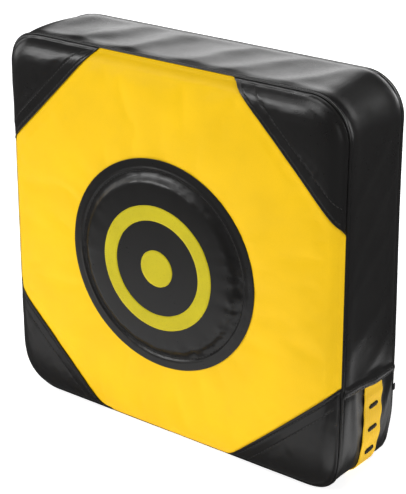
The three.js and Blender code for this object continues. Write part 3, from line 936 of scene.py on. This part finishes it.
def hem_rows():
    """Two rows of stitches along the hem on both sides."""
    rows = []
    y = np.linspace(FRONT_SEAM + 7 * MM, REAR_SEAM - 7 * MM, 40)
    for above in HEM_ROWS:
        for side in (right_side, left_side):
            rows.append(gusset_path(side(seam_height(y) + above), y, upper_lift))
    return rows


PIPING_COLUMNS = 560
PIPING_SIDES = 12


def piping(name, node, y, inset):
    """A covered cord round the whole outline."""
    s = np.linspace(0, LAP, PIPING_COLUMNS, endpoint=False)
    x, z, nx, nz = outline_at(s, inset)
    radius = PIPING_RADIUS * (1 + 0.04 * noise(s, 0 * s, 13 * MM, 90))
    drift = 0.25 * MM * noise(s, 0 * s, 60 * MM, 91)
    rows = []
    for turn in turns(PIPING_SIDES):
        out = radius * math.cos(turn)
        rows.append(xyz(x + nx * out, y + drift + radius * math.sin(turn), z + nz * out))
    faces = grid_faces(PIPING_SIDES, PIPING_COLUMNS, closed=True, flip=True, ring=True)
    settle(make_object(name, rows, faces), "black_vinyl", node)


# ---- webbing

RIBS = 8
SECTION_COLUMNS = 49


def webbing_section(width, thickness):
    """Across positions and heights of a woven strap's section, outer side first."""
    across = np.linspace(-0.5, 0.5, SECTION_COLUMNS)
    ribs = np.abs(np.sin(np.pi * (across + 0.5) * RIBS)) ** 0.7
    edge = np.clip((0.5 - np.abs(across)) / 0.03, 0, 1)
    outer = thickness * (0.5 + 0.5 * np.sqrt(edge)) * (0.82 + 0.18 * ribs)
    back = across[::-4]
    inner = thickness * 0.25 * (1 - np.clip((0.5 - np.abs(back)) / 0.05, 0, 1))
    return np.concatenate([across, back]) * width, np.concatenate([outer, inner])


def strap():
    """The yellow sling, gathered a little at its tacks and tucked under the hem at both ends."""
    width, height = webbing_section(STRAP_WIDTH, STRAP_THICKNESS)
    top = SEAM_HEIGHT + STRAP_TUCK
    s = np.arange(left_side(top) - LAP, right_side(top), STRAP_STEP)
    _, z, _, _ = outline_at(s)
    on_side = smoothstep(z, 20 * MM, 34 * MM)
    between_tacks = np.sin((z - 33 * MM) / (31 * MM) * math.pi) ** 2
    slack = 1.1 * MM * between_tacks * on_side * (1 - smoothstep(z, 108 * MM, 120 * MM))
    scallop = 0.97 + 0.05 * between_tacks * on_side + 0.01 * noise(s, 0 * s, 11 * MM, 95)
    wander = 0.5 * MM * noise(s, 0 * s, 70 * MM, 96)
    rows = []
    for across, out in zip(width, height):
        y = STRAP_Y + across * scallop + wander
        rows.append(wrap(s, y, slack + out, STRAP_INSET))
    settle(tube("sling_webbing", np.stack(rows, axis=1)), "yellow_webbing", "webbing_strap")


def side_distance(side, z):
    """Distance round the outline of a height on a side, also where the lower corner bends under."""
    bend = CORNER * math.asin((CORNER - z) / CORNER) if z < CORNER else 0
    straight = max(z, CORNER)
    return right_side(straight) - bend if side > 0 else left_side(straight) + bend


def bar_tack(node):
    """Close zigzag thread across the strap."""
    side = 1 if centre_of(node, X) > 0 else -1
    place = outline_at(side_distance(side, centre_of(node, Z)), -0.35 * MM)
    x, z, nx, nz = (float(value) for value in place)
    outward = np.array([nx, 0.0, nz])
    down = np.array([-nz * side, 0.0, nx * side])
    shape, shape_faces = stitch_shape(TACK_HEIGHT, TACK_THREAD_RADIUS)
    copies = []
    for k in range(TACK_THREADS):
        across = (k + 0.5) / TACK_THREADS - 0.5
        ahead = down + np.array([0.0, 0.12 if k % 2 else -0.12, 0.0])
        ahead /= np.linalg.norm(ahead)
        rounded = math.sqrt(max(0.25, 1 - (2 * across) ** 6))
        centre = np.array([x, STRAP_Y + across * TACK_WIDTH, z]) + down * 0.3 * MM * math.sin(5 * k)
        thread = shape * np.array([rounded, 1, 1])
        copies.append(centre + thread @ np.stack([ahead, np.cross(outward, ahead), outward]))
    piece = repeated(node.replace("bar_tack", "tack_thread"), copies, shape_faces)
    settle(piece, "black_thread", node, look="tack_thread")


# ---- the back


def back_height(x, z):
    inset = inset_distance(x, z)
    height = BACK_CROWN(inset)
    from_zip = np.abs(z - ZIP_Z) - zip_gap(x)
    height = height - 1.4 * MM * (1 - smoothstep(from_zip, 0.2 * MM, 1.8 * MM))
    height = height - 0.45 * MM * bump(from_zip, 5 * MM, 1.6 * MM)
    free = smoothstep(inset, 8 * MM, 30 * MM) * smoothstep(from_zip, 7 * MM, 30 * MM)
    for x_handle in HANDLE_X:
        for z_patch in PATCH_Z:
            reach = np.maximum(np.abs(x - x_handle) - PATCH_HALF.x, np.abs(z - z_patch) - PATCH_HALF.z)
            free = free * smoothstep(reach, 0.5 * MM, 16 * MM)
    broad = 0.9 * noise(x + 0.4 * z, z, 88 * MM, 51) + 0.4 * noise(x, z, 37 * MM, 52)
    tug = pucker(inset - 7 * MM, along_outline(x, z), 7 * MM, 11 * MM, 53) * 0.3 * MM
    tug = tug + pucker(from_zip - 5 * MM, x, 6 * MM, 12 * MM, 54) * 0.25 * MM
    return height - 0.2 * MM + broad * MM * free + tug * smoothstep(inset, 3 * MM, 7 * MM)


def zip_gap(x):
    """Half the height of the opening that shows the zip: it closes just past the zip's stops."""
    shut = smoothstep(np.abs(x), SLOT_HALF_LENGTH - 2 * MM, SLOT_HALF_LENGTH + 16 * MM)
    return SLOT_HALF_HEIGHT * (1 - shut) + 0.15 * MM * shut


def outline_points(start, end, inset):
    count = max(2, int(abs(end - start) / BACK_STEP))
    x, z, _, _ = outline_at(np.linspace(start, end, count), inset)
    return np.stack([x, z], axis=1)


def zip_edge(sign):
    x = np.arange(-(HALF - BACK_INSET), HALF - BACK_INSET, BACK_STEP)[1:]
    return np.stack([x, ZIP_Z + sign * zip_gap(x)], axis=1)


PANEL_GAP = 0.15 * MM
BACK_CORE = 3 * MM
# Stitched rows on the back: beside the zip's opening, and inside the outer edge
ZIP_ROW = 5 * MM
EDGE_ROW = 8 * MM


def back_panels():
    """Two panels that meet at the zip: the upper one is drawn in to a point, the lower one to a line."""
    above, below = ZIP_Z + PANEL_GAP, ZIP_Z - PANEL_GAP
    upper_run = outline_points(right_side(above), left_side(above), BACK_INSET)
    upper_edge = np.concatenate([upper_run, zip_edge(1)])
    lower_run = outline_points(left_side(below) - LAP, right_side(below), BACK_INSET)
    lower_edge = np.concatenate([lower_run, zip_edge(-1)[::-1]])
    line_x = np.clip(lower_edge[:, 0] * 0.9, -205 * MM, 205 * MM)
    line = np.stack([line_x, np.full_like(line_x, 50 * MM)], axis=1)
    for level, edge, centre, rings in (
        ("upper", upper_edge, (0.0, 300 * MM), 30),
        ("lower", lower_edge, line, 8),
    ):
        panel = star_panel("rear_cover_" + level, edge, centre, back_height, REAR_SEAM, 1, rings, BACK_CORE)
        thicken(panel)
        settle(panel, "black_vinyl", "back_panel_" + level)


def back_rows():
    """Rows beside the zip, and one just inside the outer edge."""
    x = np.linspace(-HALF + 14 * MM, HALF - 14 * MM, 160)
    rows = [np.stack([x, ZIP_Z + sign * (zip_gap(x) + ZIP_ROW)], axis=1) for sign in (1, -1)]
    above, below = ZIP_Z + 9 * MM, ZIP_Z - 9 * MM
    rows.append(outline_points(right_side(above), left_side(above), EDGE_ROW))
    rows.append(outline_points(left_side(below) - LAP, right_side(below), EDGE_ROW))
    return [on_face(row, back_height, REAR_SEAM, 1) for row in rows]


# The folded tape end's path: depth, and how far it stands out
TAB_FOLD = ((58.5, 0.0), (59.5, 0.5), (60.8, 0.9), (62.2, 0.9), (63.2, 0.3), (63.4, -0.6), (62.6, -1.2))
TAB_THICKNESS = 0.7 * MM
TAB_SINK = 1.6 * MM


def end_tab(side):
    """The zip tape's folded end, caught in the rear seam."""
    sign = 1 if side == "right" else -1
    across = np.linspace(-4.5, 4.5, 13) * MM
    soft = 1 - (np.abs(across) / (5.2 * MM)) ** 4
    rows = []
    for depth, out in TAB_FOLD:
        rows.append(xyz(sign * (HALF - TAB_SINK + out * MM * soft), depth * MM, ZIP_Z + across))
    tab = make_object("tape_end_" + side, rows, grid_faces(len(rows), len(across), flip=sign > 0))
    thicken(tab, TAB_THICKNESS)
    settle(tab, "black_webbing", "zip_end_tab_" + side, look="zip_tape")


# ---- the handles

HANDLE_X = [centre_of("handle_webbing_" + side, X) for side in ("left", "right")]
PATCH_Z = [centre_of("handle_patch_left_" + level, Z) for level in ("lower", "upper")]
patch_low, patch_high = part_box("handle_patch_left_lower")
PATCH_HALF = (patch_high - patch_low) / 2
PATCH_RADIUS = 7 * MM
PATCH_STEPS = 10
# How a patch's edge rolls over: scale of each ring and its share of the thickness
PATCH_RINGS = ((1, 0), (1, 0.55), (0.985, 0.95), (0.95, 1.05), (0.86, 0.8), (0.8, 1), (0.5, 1), (0.04, 1))
BACK_FACE = patch_low.y - 0.3 * MM
WEBBING_WIDTH = 40 * MM
WEBBING_THICKNESS = 2.0 * MM
# The webbing's middle line: height, and how far it stands off the back
HANDLE_LINE = [(135, 2.8), (175, 2.8), (190, 16.45), (205, 39)]
HANDLE_LINE += [(325, 39), (340, 16.45), (355, 2.8), (395, 2.8)]
BEND_SOFTNESS = 7 * MM
BOX_HALF_WIDTH = WEBBING_WIDTH / 2 - 5 * MM
BOX_HALF_HEIGHT = 13 * MM
PATCH_MARGIN = 4 * MM
STITCH_SINK = 0.05 * MM


def handle_line():
    """The handle's middle line in even steps, with its bends rounded."""
    knots = np.array(HANDLE_LINE) * MM
    lengths = np.concatenate([[0], np.cumsum(np.linalg.norm(np.diff(knots, axis=0), axis=1))])
    along = np.arange(0, lengths[-1], 1 * MM)
    line = np.stack([np.interp(along, lengths, knots[:, k]) for k in range(2)], axis=1)
    reach = int(3 * BEND_SOFTNESS / MM)
    kernel = np.exp(-0.5 * (np.arange(-reach, reach + 1) * MM / BEND_SOFTNESS) ** 2)
    kernel /= kernel.sum()
    ends = np.concatenate([2 * line[0] - line[reach:0:-1], line, 2 * line[-1] - line[-2 : -reach - 2 : -1]])
    soft = np.stack([np.convolve(ends[:, k], kernel, "valid") for k in range(2)], axis=1)
    return soft[::2]


def sweep(name, line, section_x, section_out, centre_x):
    """Sweeps a closed section (across, outwards) along a line of (height, depth behind the back)."""
    rings = []
    for (z, depth), (rise, back) in zip(line, unit(np.gradient(line, axis=0))):
        y = BACK_FACE + depth + rise * section_out
        rings.append(xyz(centre_x + section_x, y, z - back * section_out))
    return tube(name, rings)


def box_cross(centre_x, centre_z, half_width, half_height, y):
    """Stitched box with a cross in it, as rows with their normals."""
    corners = [(-1, -1), (1, -1), (1, 1), (-1, 1)]
    a, b, c, d = (xyz(centre_x + half_width * sx, y, centre_z + half_height * sz) for sx, sz in corners)
    out = np.array([[0.0, 1.0, 0.0]] * 2)
    return [(np.stack(pair), out) for pair in ((a, b), (b, c), (c, d), (d, a), (a, c), (b, d))]


def handle(side, centre_x):
    """One webbing loop with its padded sleeve, its two patches and the stitches that hold them."""
    across, out = webbing_section(WEBBING_WIDTH, WEBBING_THICKNESS)
    webbing = sweep("grip_webbing_" + side, handle_line(), across, out - WEBBING_THICKNESS / 2, centre_x)
    settle(webbing, "black_webbing", "handle_webbing_" + side)
    sleeve(side, centre_x)
    webbing_top = BACK_FACE + HANDLE_LINE[0][1] * MM + WEBBING_THICKNESS / 2 - STITCH_SINK
    rows = []
    for level, z in zip(("lower", "upper"), PATCH_Z):
        patch("patch_%s_%s" % (side, level), centre_x, z)
        rows += box_cross(centre_x, z, BOX_HALF_WIDTH, BOX_HALF_HEIGHT, webbing_top)
        half_width, half_height = PATCH_HALF.x - PATCH_MARGIN, PATCH_HALF.z - PATCH_MARGIN
        rows += box_cross(centre_x, z, half_width, half_height, patch_high.y - STITCH_SINK)[1:4:2]
    sew("handle_stitches_" + side, rows, HANDLE_PITCH, HANDLE_STITCH_RADIUS)


def patch(name, centre_x, centre_z):
    """A rounded reinforcing patch with a softened edge."""
    node = "handle_" + name
    low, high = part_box(node)
    loop = []
    for quarter, (side, up) in enumerate(((1, 1), (-1, 1), (-1, -1), (1, -1))):
        turn = math.pi / 2 * (quarter + np.arange(PATCH_STEPS + 1) / PATCH_STEPS)
        x = side * (PATCH_HALF.x - PATCH_RADIUS) + PATCH_RADIUS * np.cos(turn)
        z = up * (PATCH_HALF.z - PATCH_RADIUS) + PATCH_RADIUS * np.sin(turn)
        loop.append(np.stack([x, z]))
    x, z = np.concatenate(loop, axis=1)
    rings = []
    for scale, rise in PATCH_RINGS:
        rings.append(xyz(centre_x + x * scale, low.y + rise * (high.y - low.y), centre_z + z * scale))
    settle(tube("sewn_" + name, rings), "black_vinyl", node)


SLEEVE_COLUMNS = 64
SLEEVE_RINGS = 60
SLEEVE_THROAT = (0.3, 0.3, 0.34, 0.5)


def sleeve(side, centre_x):
    """A padded grip: a fat rounded tube, gathered at both ends round the webbing."""
    node = "handle_sleeve_" + side
    low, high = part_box(node)
    middle, half = (low + high) / 2, (high - low) / 2
    turn = turns(SLEEVE_COLUMNS)
    c, d = np.cos(turn), np.sin(turn)
    from_seam = np.abs(turn - np.pi)
    seam = 0.9 * MM * bump(from_seam, 0, 0.18) - 0.5 * MM * bump(from_seam, 0.42, 0.2)
    ends = np.array([0.93, 0.965, 0.99, 1.0])
    stations = np.concatenate([-ends, np.linspace(-0.985, 0.985, SLEEVE_RINGS), ends[::-1]])
    rings = []
    for index, t in enumerate(stations):
        from_end = min(index, len(stations) - 1 - index)
        swell = (1 - abs(t) ** 9) ** 0.42 * (1 - 0.05 * t * t)
        if from_end < len(SLEEVE_THROAT):
            swell = SLEEVE_THROAT[from_end]
        gather = 1 + 0.035 * noise(turn * 12, 0 * turn + t, 1.1, 101) * smoothstep(abs(t), 0.55, 0.95)
        full = gather * (1 + 0.02 * noise(c * 2 + t * 3, d * 2, 0.8, 102))
        x = np.sign(c) * np.abs(c) ** 0.72 * half.x * (0.8 + 0.2 * swell)
        y = np.sign(d) * np.abs(d) ** 0.85 * half.y * swell
        rings.append(xyz(centre_x + x * full - seam, middle.y + y * full, middle.z + t * half.z))
    settle(tube("padded_grip_" + side, rings), "black_vinyl", node, padded=0.8)


# ---- foam

FOAM_INSET = 7 * MM
FOAM_CLEARANCE = 4.5 * MM
FOAM_COLUMNS = 220
FOAM_ROUNDING = 1.5 * MM
FOAM_REACH = np.array([0, 0.6, 2, 5, 9, 14, 20, 30, 45, 70, 100]) * MM
DISC_REACH = np.array([0.5, 60, 96, 103, 107, 110, 113, 115]) * MM
DISC_COLUMNS = 120


def foam_slab(node):
    """A cut foam layer whose outer face follows the crown of the cover over it."""
    low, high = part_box(node)
    front = np.full(len(FOAM_REACH), low.y)
    rear = np.full(len(FOAM_REACH), high.y)
    front[0] += FOAM_ROUNDING
    rear[0] -= FOAM_ROUNDING
    inset = FOAM_INSET + FOAM_REACH
    if low.y < FRONT_SEAM:
        cover = np.minimum(BLACK_CROWN(inset), YELLOW_CROWN(inset))
        front = np.maximum(low.y, FRONT_SEAM - cover + FOAM_CLEARANCE)
    if high.y > REAR_SEAM:
        rear = np.minimum(high.y, REAR_SEAM + BACK_CROWN(inset) - FOAM_CLEARANCE)
    s = np.linspace(0, LAP, FOAM_COLUMNS, endpoint=False)
    rings = []
    for y, ring_inset in list(zip(front, inset))[::-1] + list(zip(rear, inset)):
        x, z, _, _ = outline_at(s, ring_inset)
        rings.append(xyz(x, y, z))
    settle(tube(node + "_layer", rings, smooth=False), "foam", node, padded=1.0)


def foam_disc():
    """The target's foam: it fills the space under its cover."""
    floor_y = FRONT_SEAM - FACE_RISE - 0.6 * MM
    front = np.minimum(floor_y - 0.5 * MM, FRONT_SEAM - FACE_RISE - PAD_PROFILE(DISC_REACH) + 2.4 * MM)
    turn = turns(DISC_COLUMNS)
    rings = []
    for y, radius in [*zip(front, DISC_REACH), (floor_y, DISC_REACH[-1]), (floor_y, DISC_REACH[0])]:
        rings.append(xyz(radius * np.cos(turn), y, CENTRE_Z + radius * np.sin(turn)))
    settle(tube("target_foam_disc", rings, smooth=False), "foam", "target_foam", padded=1.0)


# ---- materials


class Look:
    """A material's node tree with a Principled shader, built up a node at a time."""

    def __init__(self, name, color, roughness, metallic=0.0, sheen=0.0, specular=0.5):
        self.material = bpy.data.materials.new(name)
        self.material.use_nodes = True
        self.tree = self.material.node_tree
        self.shader = self.tree.nodes["Principled BSDF"]
        self.shader.inputs["Base Color"].default_value = (*color, 1)
        self.shader.inputs["Roughness"].default_value = roughness
        self.shader.inputs["Metallic"].default_value = metallic
        self.shader.inputs["Sheen Weight"].default_value = sheen
        self.shader.inputs["Specular IOR Level"].default_value = specular
        self.place = self.tree.nodes.new("ShaderNodeTexCoord").outputs["Object"]
        self.height = None

    def node(self, kind, output=0, inputs=None, **settings):
        made = self.tree.nodes.new(kind)
        for key, value in settings.items():
            setattr(made, key, value)
        for key, value in (inputs or {}).items():
            if isinstance(value, bpy.types.NodeSocket):
                self.tree.links.new(value, made.inputs[key])
            else:
                made.inputs[key].default_value = value
        return made.outputs[output]

    def noise(self, scale, detail=2.0, rough=0.5, place=None):
        values = {"Vector": place or self.place, "Scale": scale, "Detail": detail, "Roughness": rough}
        return self.node("ShaderNodeTexNoise", 0, values)

    def cells(self, scale, feature="DISTANCE_TO_EDGE"):
        values = {"Vector": self.place, "Scale": scale}
        return self.node("ShaderNodeTexVoronoi", "Distance", values, feature=feature)

    def axes(self):
        """The place's three coordinates."""
        return self.node("ShaderNodeSeparateXYZ", 0, {0: self.place}).node.outputs

    def span(self, value, low, high, to_low=0.0, to_high=1.0):
        values = {"Value": value, "From Min": low, "From Max": high, "To Min": to_low, "To Max": to_high}
        return self.node("ShaderNodeMapRange", 0, values)

    def math(self, operation, a, b=0.0):
        return self.node("ShaderNodeMath", 0, {0: a, 1: b}, operation=operation)

    def cloud(self, scale, detail=2.0, rough=0.5, low=0.3, high=0.7):
        """Noise stretched to run from 0 to 1."""
        return self.span(self.noise(scale, detail, rough), low, high)

    def over(self, share, base, color):
        """Mixes a colour into another one, or into a socket's, by a 0 to 1 value."""
        base = base if isinstance(base, bpy.types.NodeSocket) else (*base, 1)
        return self.node("ShaderNodeMix", 2, {0: share, 6: base, 7: (*color, 1)}, data_type="RGBA")

    def mottled(self, share, color, dark, light):
        """A colour that drifts between a darker and a lighter shade of itself."""
        return self.over(share, scaled(color, dark), scaled(color, light))

    def colored(self, value):
        self.tree.links.new(value, self.shader.inputs["Base Color"])

    def rough(self, value):
        self.tree.links.new(value, self.shader.inputs["Roughness"])

    def bumped(self, height, distance, strength=1.0):
        values = {"Height": height, "Distance": distance, "Strength": strength}
        if self.height is not None:
            values["Normal"] = self.height
        self.height = self.node("ShaderNodeBump", 0, values)

    def done(self):
        if self.height is not None:
            self.tree.links.new(self.height, self.shader.inputs["Normal"])
        return self.material


def scaled(color, factor):
    return tuple(min(1.0, c * factor) for c in color)


# Cells of the vinyl's grain per metre, the roughness of woven tape, and the pitch of twisted thread in metres
GRAIN = 820
WEAVE_ROUGHNESS = 0.72
TWIST = 0.0006


def vinyl_look(name, color, roughness, specular, wear, wear_share):
    """Coated vinyl: fine leather grain with painted shade in its grooves, soft creases, uneven gloss and a
    little handling wear.
    """
    look = Look(name, color, roughness, specular=specular)
    grain = look.cells(GRAIN)
    patches = look.noise(11, 3, 0.55)
    tone = look.mottled(look.span(patches, 0.3, 0.7), color, 0.94, 1.05)
    # Painted shade: the colour darkens in the grain's grooves, where its bump sinks
    grain_groove_shade = look.math("MULTIPLY", look.span(grain, 0.0, 0.09, 1.0, 0.0), 0.22)
    tone = look.over(grain_groove_shade, tone, scaled(color, 0.72))
    scuffs = look.math("MULTIPLY", look.cloud(34, 6, 0.75, 0.6, 0.78), look.cloud(5, low=0.45))
    look.colored(look.over(look.math("MULTIPLY", scuffs, wear_share), tone, wear))
    gloss = look.math("ADD", patches, look.noise(240))
    look.rough(look.span(gloss, 0.6, 1.4, roughness - 0.04, roughness + 0.06))
    look.bumped(look.span(grain, 0.0, 0.16), 0.0001, 0.2)
    look.bumped(look.noise(2600, 2, 0.6), 0.00004, 0.15)
    look.bumped(look.noise(95, 3, 0.6), 0.0006, 0.08)
    return look.done()


def weave_look(name, color, across, rib, pick):
    """Woven tape: threads across it at the given pitches, in metres, with painted shade between the threads.
    """
    look = Look(name, color, WEAVE_ROUGHNESS, sheen=0.08, specular=0.2)
    axes = look.axes()
    along = look.math("ADD", *(axes[k] for k in range(3) if k != across))
    warp = look.math("SINE", look.math("MULTIPLY", axes[across], 2 * math.pi / rib))
    slant = look.math("MULTIPLY", along, 2 * math.pi / pick)
    weft = look.math("SINE", look.math("ADD", slant, look.math("MULTIPLY", warp, 1.2)))
    height = look.math("ADD", look.math("MULTIPLY", look.math("ADD", warp, weft), 0.25), 0.5)
    fuzz = look.noise(1900, 3, 0.7)
    # Painted shade: the colour darkens where the weave's height is low, between the threads
    shade = look.math("MULTIPLY", look.span(height, 0.15, 0.6, 1.0, 0.0), 0.42)
    look.colored(look.over(shade, look.mottled(look.cloud(26, 3), color, 0.9, 1.06), scaled(color, 0.5)))
    look.rough(look.span(fuzz, 0.3, 0.7, WEAVE_ROUGHNESS - 0.08, WEAVE_ROUGHNESS + 0.1))
    look.bumped(height, 0.0003, 0.7)
    look.bumped(fuzz, 0.0001, 0.35)
    return look.done()


def thread_look(name, color):
    """Twisted thread: a slanting line every TWIST along it, with a painted highlight on each ridge and
    painted shade in each groove.
    """
    look = Look(name, color, 0.5, sheen=0.05, specular=0.32)
    axes = look.axes()
    diagonal = look.math("ADD", axes[2], look.math("ADD", axes[0], axes[1]))
    twist = look.math("SINE", look.math("MULTIPLY", diagonal, 2 * math.pi / TWIST))
    # Painted highlight and shade: the colour is lighter on the twist's ridges and darker in its grooves
    look.colored(look.mottled(look.span(twist, -1, 1), color, 0.7, 1.25))
    look.rough(look.span(look.noise(700), 0.3, 0.7, 0.42, 0.6))
    look.bumped(twist, 0.00008, 0.7)
    return look.done()


def ink_look(name, color, under):
    """Printed ink over vinyl grain, thin in a few places."""
    look = Look(name, color, 0.5, specular=0.18)
    cloud = look.noise(21, 4, 0.6)
    tone = look.mottled(look.span(cloud, 0.3, 0.7), color, 0.9, 1.05)
    pinholes = look.math("MULTIPLY", look.cloud(900, low=0.66, high=0.74), 0.5)
    look.colored(look.over(pinholes, tone, under))
    look.rough(look.span(cloud, 0.3, 0.7, 0.42, 0.54))
    look.bumped(look.span(look.cells(GRAIN), 0.0, 0.16), 0.0001, 0.5)
    return look.done()


def foam_look(name, color):
    look = Look(name, color, 0.95, specular=0.2)
    bubbles = look.cells(620, "F1")
    look.colored(look.mottled(look.cloud(60, 3), color, 0.88, 1.06))
    look.rough(look.span(bubbles, 0, 0.8, 0.86, 1.0))
    look.bumped(bubbles, 0.0004, 0.6)
    return look.done()


def moulded_look(name, color):
    look = Look(name, color, 0.38)
    speck = look.noise(1400)
    look.colored(look.mottled(look.cloud(120, low=0.35, high=0.65), color, 0.85, 1.15))
    look.rough(look.span(speck, 0.3, 0.7, 0.3, 0.46))
    look.bumped(speck, 0.00004, 0.6)
    return look.done()


def plated_look(name, color):
    """Dark plated metal: fine drawn lines, worn brighter in places."""
    look = Look(name, color, 0.3, metallic=1.0)
    stretch = look.node("ShaderNodeMapping", 0, {"Vector": look.place, "Scale": (0.15, 1.0, 1.0)})
    lines = look.noise(2200, 3, 0.6, stretch)
    look.colored(look.mottled(look.cloud(160, 5, 0.7, 0.5, 0.68), color, 1.0, 1.7))
    look.rough(look.span(lines, 0.3, 0.7, 0.22, 0.42))
    look.bumped(lines, 0.00003, 0.7)
    return look.done()


YELLOW = (0.92, 0.562, 0.0025)
BLACK = (0.0118, 0.0112, 0.011)
LOOKS = {
    "yellow_vinyl": vinyl_look("yellow_vinyl_look", YELLOW, 0.46, 0.15, (0.62, 0.38, 0.03), 0.22),
    "black_vinyl": vinyl_look("black_vinyl_look", BLACK, 0.3, 0.5, (0.03, 0.029, 0.028), 0.25),
    "yellow_print": ink_look("print_look", (0.56, 0.47, 0.008), (0.06, 0.05, 0.02)),
    "foam": foam_look("foam_look", (0.27, 0.28, 0.3)),
    "yellow_webbing": weave_look("yellow_webbing_look", (0.84, 0.5, 0.006), 1, 0.0016, 0.0021),
    "black_webbing": weave_look("black_webbing_look", (0.016, 0.016, 0.018), 0, 0.0016, 0.0021),
    "zip_tape": weave_look("zip_tape_look", (0.013, 0.013, 0.015), 2, 0.0009, 0.0012),
    "black_thread": thread_look("black_thread_look", (0.032, 0.03, 0.029)),
    "tack_thread": thread_look("tack_thread_look", (0.006, 0.0045, 0.0035)),
    "zip_teeth": moulded_look("teeth_look", (0.012, 0.012, 0.013)),
    "zip_metal": plated_look("plated_look", (0.17, 0.17, 0.18)),
}

# ---- camera, light and floor


LENS = 107.85
SENSOR_WIDTH = 36
CAMERA_PLACE = (1.0131, -1.3782, 0.9969)
CAMERA_TILT = math.radians(66.17)
CAMERA_TURN = math.radians(36.16)
ROOM_LIGHT = 0.05
BACKDROP_LIGHT = 1.05
FLOOR_HALF = 6.0
FLOOR_DROP = 0.3 * MM
FLOOR_GLOW = 0.8


def aim(obj, place, target):
    obj.location = place
    obj.rotation_euler = (Vector(target) - Vector(place)).to_track_quat("-Z", "Y").to_euler()


def set_camera():
    data = bpy.data.cameras.new("camera")
    data.lens = LENS
    data.sensor_width = SENSOR_WIDTH
    camera = bpy.data.objects.new("camera", data)
    camera.location = CAMERA_PLACE
    camera.rotation_euler = (CAMERA_TILT, 0, CAMERA_TURN)
    bpy.context.scene.collection.objects.link(camera)
    bpy.context.scene.camera = camera


def softbox(name, place, target, width, height, radiance):
    """An area light set by the brightness of its face."""
    data = bpy.data.lights.new(name, "AREA")
    data.shape = "RECTANGLE"
    data.size = width
    data.size_y = height
    data.energy = radiance * width * height * math.pi
    light = bpy.data.objects.new(name, data)
    bpy.context.scene.collection.objects.link(light)
    aim(light, place, target)
    light.visible_camera = False


def set_world():
    world = bpy.data.worlds.new("studio")
    bpy.context.scene.world = world
    world.use_nodes = True
    tree = world.node_tree
    room = tree.nodes["Background"]
    room.inputs["Color"].default_value = (1, 1, 1, 1)
    room.inputs["Strength"].default_value = ROOM_LIGHT
    backdrop = tree.nodes.new("ShaderNodeBackground")
    backdrop.inputs["Color"].default_value = (1, 1, 1, 1)
    backdrop.inputs["Strength"].default_value = BACKDROP_LIGHT
    seen = tree.nodes.new("ShaderNodeLightPath")
    mix = tree.nodes.new("ShaderNodeMixShader")
    tree.links.new(seen.outputs["Is Camera Ray"], mix.inputs[0])
    tree.links.new(room.outputs[0], mix.inputs[1])
    tree.links.new(backdrop.outputs[0], mix.inputs[2])
    tree.links.new(mix.outputs[0], tree.nodes["World Output"].inputs["Surface"])


def set_floor():
    look = Look("floor_look", (0.9, 0.9, 0.9), 0.8, specular=0.1)
    look.colored(look.over(look.noise(3), (0.88, 0.88, 0.88), (0.92, 0.92, 0.92)))
    look.shader.inputs["Emission Color"].default_value = (1, 1, 1, 1)
    look.shader.inputs["Emission Strength"].default_value = FLOOR_GLOW
    points = [(FLOOR_HALF * x, FLOOR_HALF * y, 0) for x, y in ((-1, -1), (1, -1), (1, 1), (-1, 1))]
    floor = make_object("floor", points, [(0, 1, 2, 3)])
    floor.data.materials.append(look.done())
    floor.location.z = -FLOOR_DROP
    floor.visible_glossy = False


def set_lights():
    centre = (0, 0, CENTRE_Z)
    softbox("front_light", (-1.7, -1.9, 1.6), centre, 1.5, 1.1, 6.0)
    softbox("side_light", (2.4, 0.45, 1.1), centre, 1.3, 1.3, 3.6)
    softbox("rear_light", (-1.22, 2.0, 1.15), (-0.1, 0, 0.5), 1.36, 1.5, 1.85)
    softbox("overhead_light", (-0.1, -0.8, 2.0), centre, 1.2, 1.3, 2.5)
    softbox("floor_glow", (-0.15, -0.33, 0.004), (-0.15, -0.33, 1), 0.95, 0.36, 0.6)
    softbox("side_glow", (0.325, 0.05, 0.004), (0.325, 0.05, 1), 0.1, 0.44, 0.9)
    softbox("left_light", (-2.4, -0.2, 0.9), centre, 1.2, 1.2, 1.4)
    softbox("back_light", (0.2, 2.6, 0.75), centre, 1.5, 0.9, 4.6)


# ---- the making

set_camera()
set_world()
set_floor()
set_lights()

yellow_panel()
for corner_name in CORNER_LEGS:
    corner_panel(corner_name)
target_cover()
print_film("printed_ring", "target_ring", RING_INNER, RING_OUTER)
print_film("printed_dot", "bullseye_dot", DOT_INNER, DOT_OUTER)
gusset_sheet(
    "side_cover_upper",
    "gusset_upper",
    lambda y: right_side(seam_height(y)),
    lambda y: left_side(seam_height(y)),
    upper_lift,
)
gusset_sheet(
    "side_cover_lower",
    "gusset_lower",
    lambda y: left_side(seam_height(y) + LOWER_TUCK) - LAP,
    lambda y: right_side(seam_height(y) + LOWER_TUCK),
    lower_lift,
)
piping("front_piping_cord", "front_piping", FRONT_SEAM, PIPING_RADIUS)
piping("rear_piping_cord", "rear_piping", REAR_SEAM + REAR_PIPING_BACK, PIPING_RADIUS + REAR_PIPING_INSET)
strap()
back_panels()
for side_name, handle_x in zip(("left", "right"), HANDLE_X):
    for level in ("upper", "middle", "lower"):
        bar_tack("bar_tack_%s_%s" % (side_name, level))
    end_tab(side_name)
    handle(side_name, handle_x)
for layer in ("strike_foam", "core_foam", "rear_foam"):
    foam_slab(layer)
foam_disc()
sew("corner_stitches", [row for name in CORNER_LEGS for row in corner_rows(name)])
sew("target_stitches", [target_row()])
sew("hem_stitches", hem_rows())
sew("back_stitches", back_rows())

for look_name, kept_nodes in {
    "zip_tape": ("zip_tape_upper", "zip_tape_lower"),
    "zip_teeth": ("zip_teeth_upper", "zip_teeth_lower"),
    "zip_metal": ("zip_stop_left", "zip_stop_right", "zip_slider", "zip_pull"),
}.items():
    for kept_node in kept_nodes:
        for slot_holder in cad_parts[kept_node].material_slots:
            slot_holder.material = LOOKS[look_name]

bpy.context.scene.view_settings.view_transform = "Standard"
bpy.context.view_layer.update()
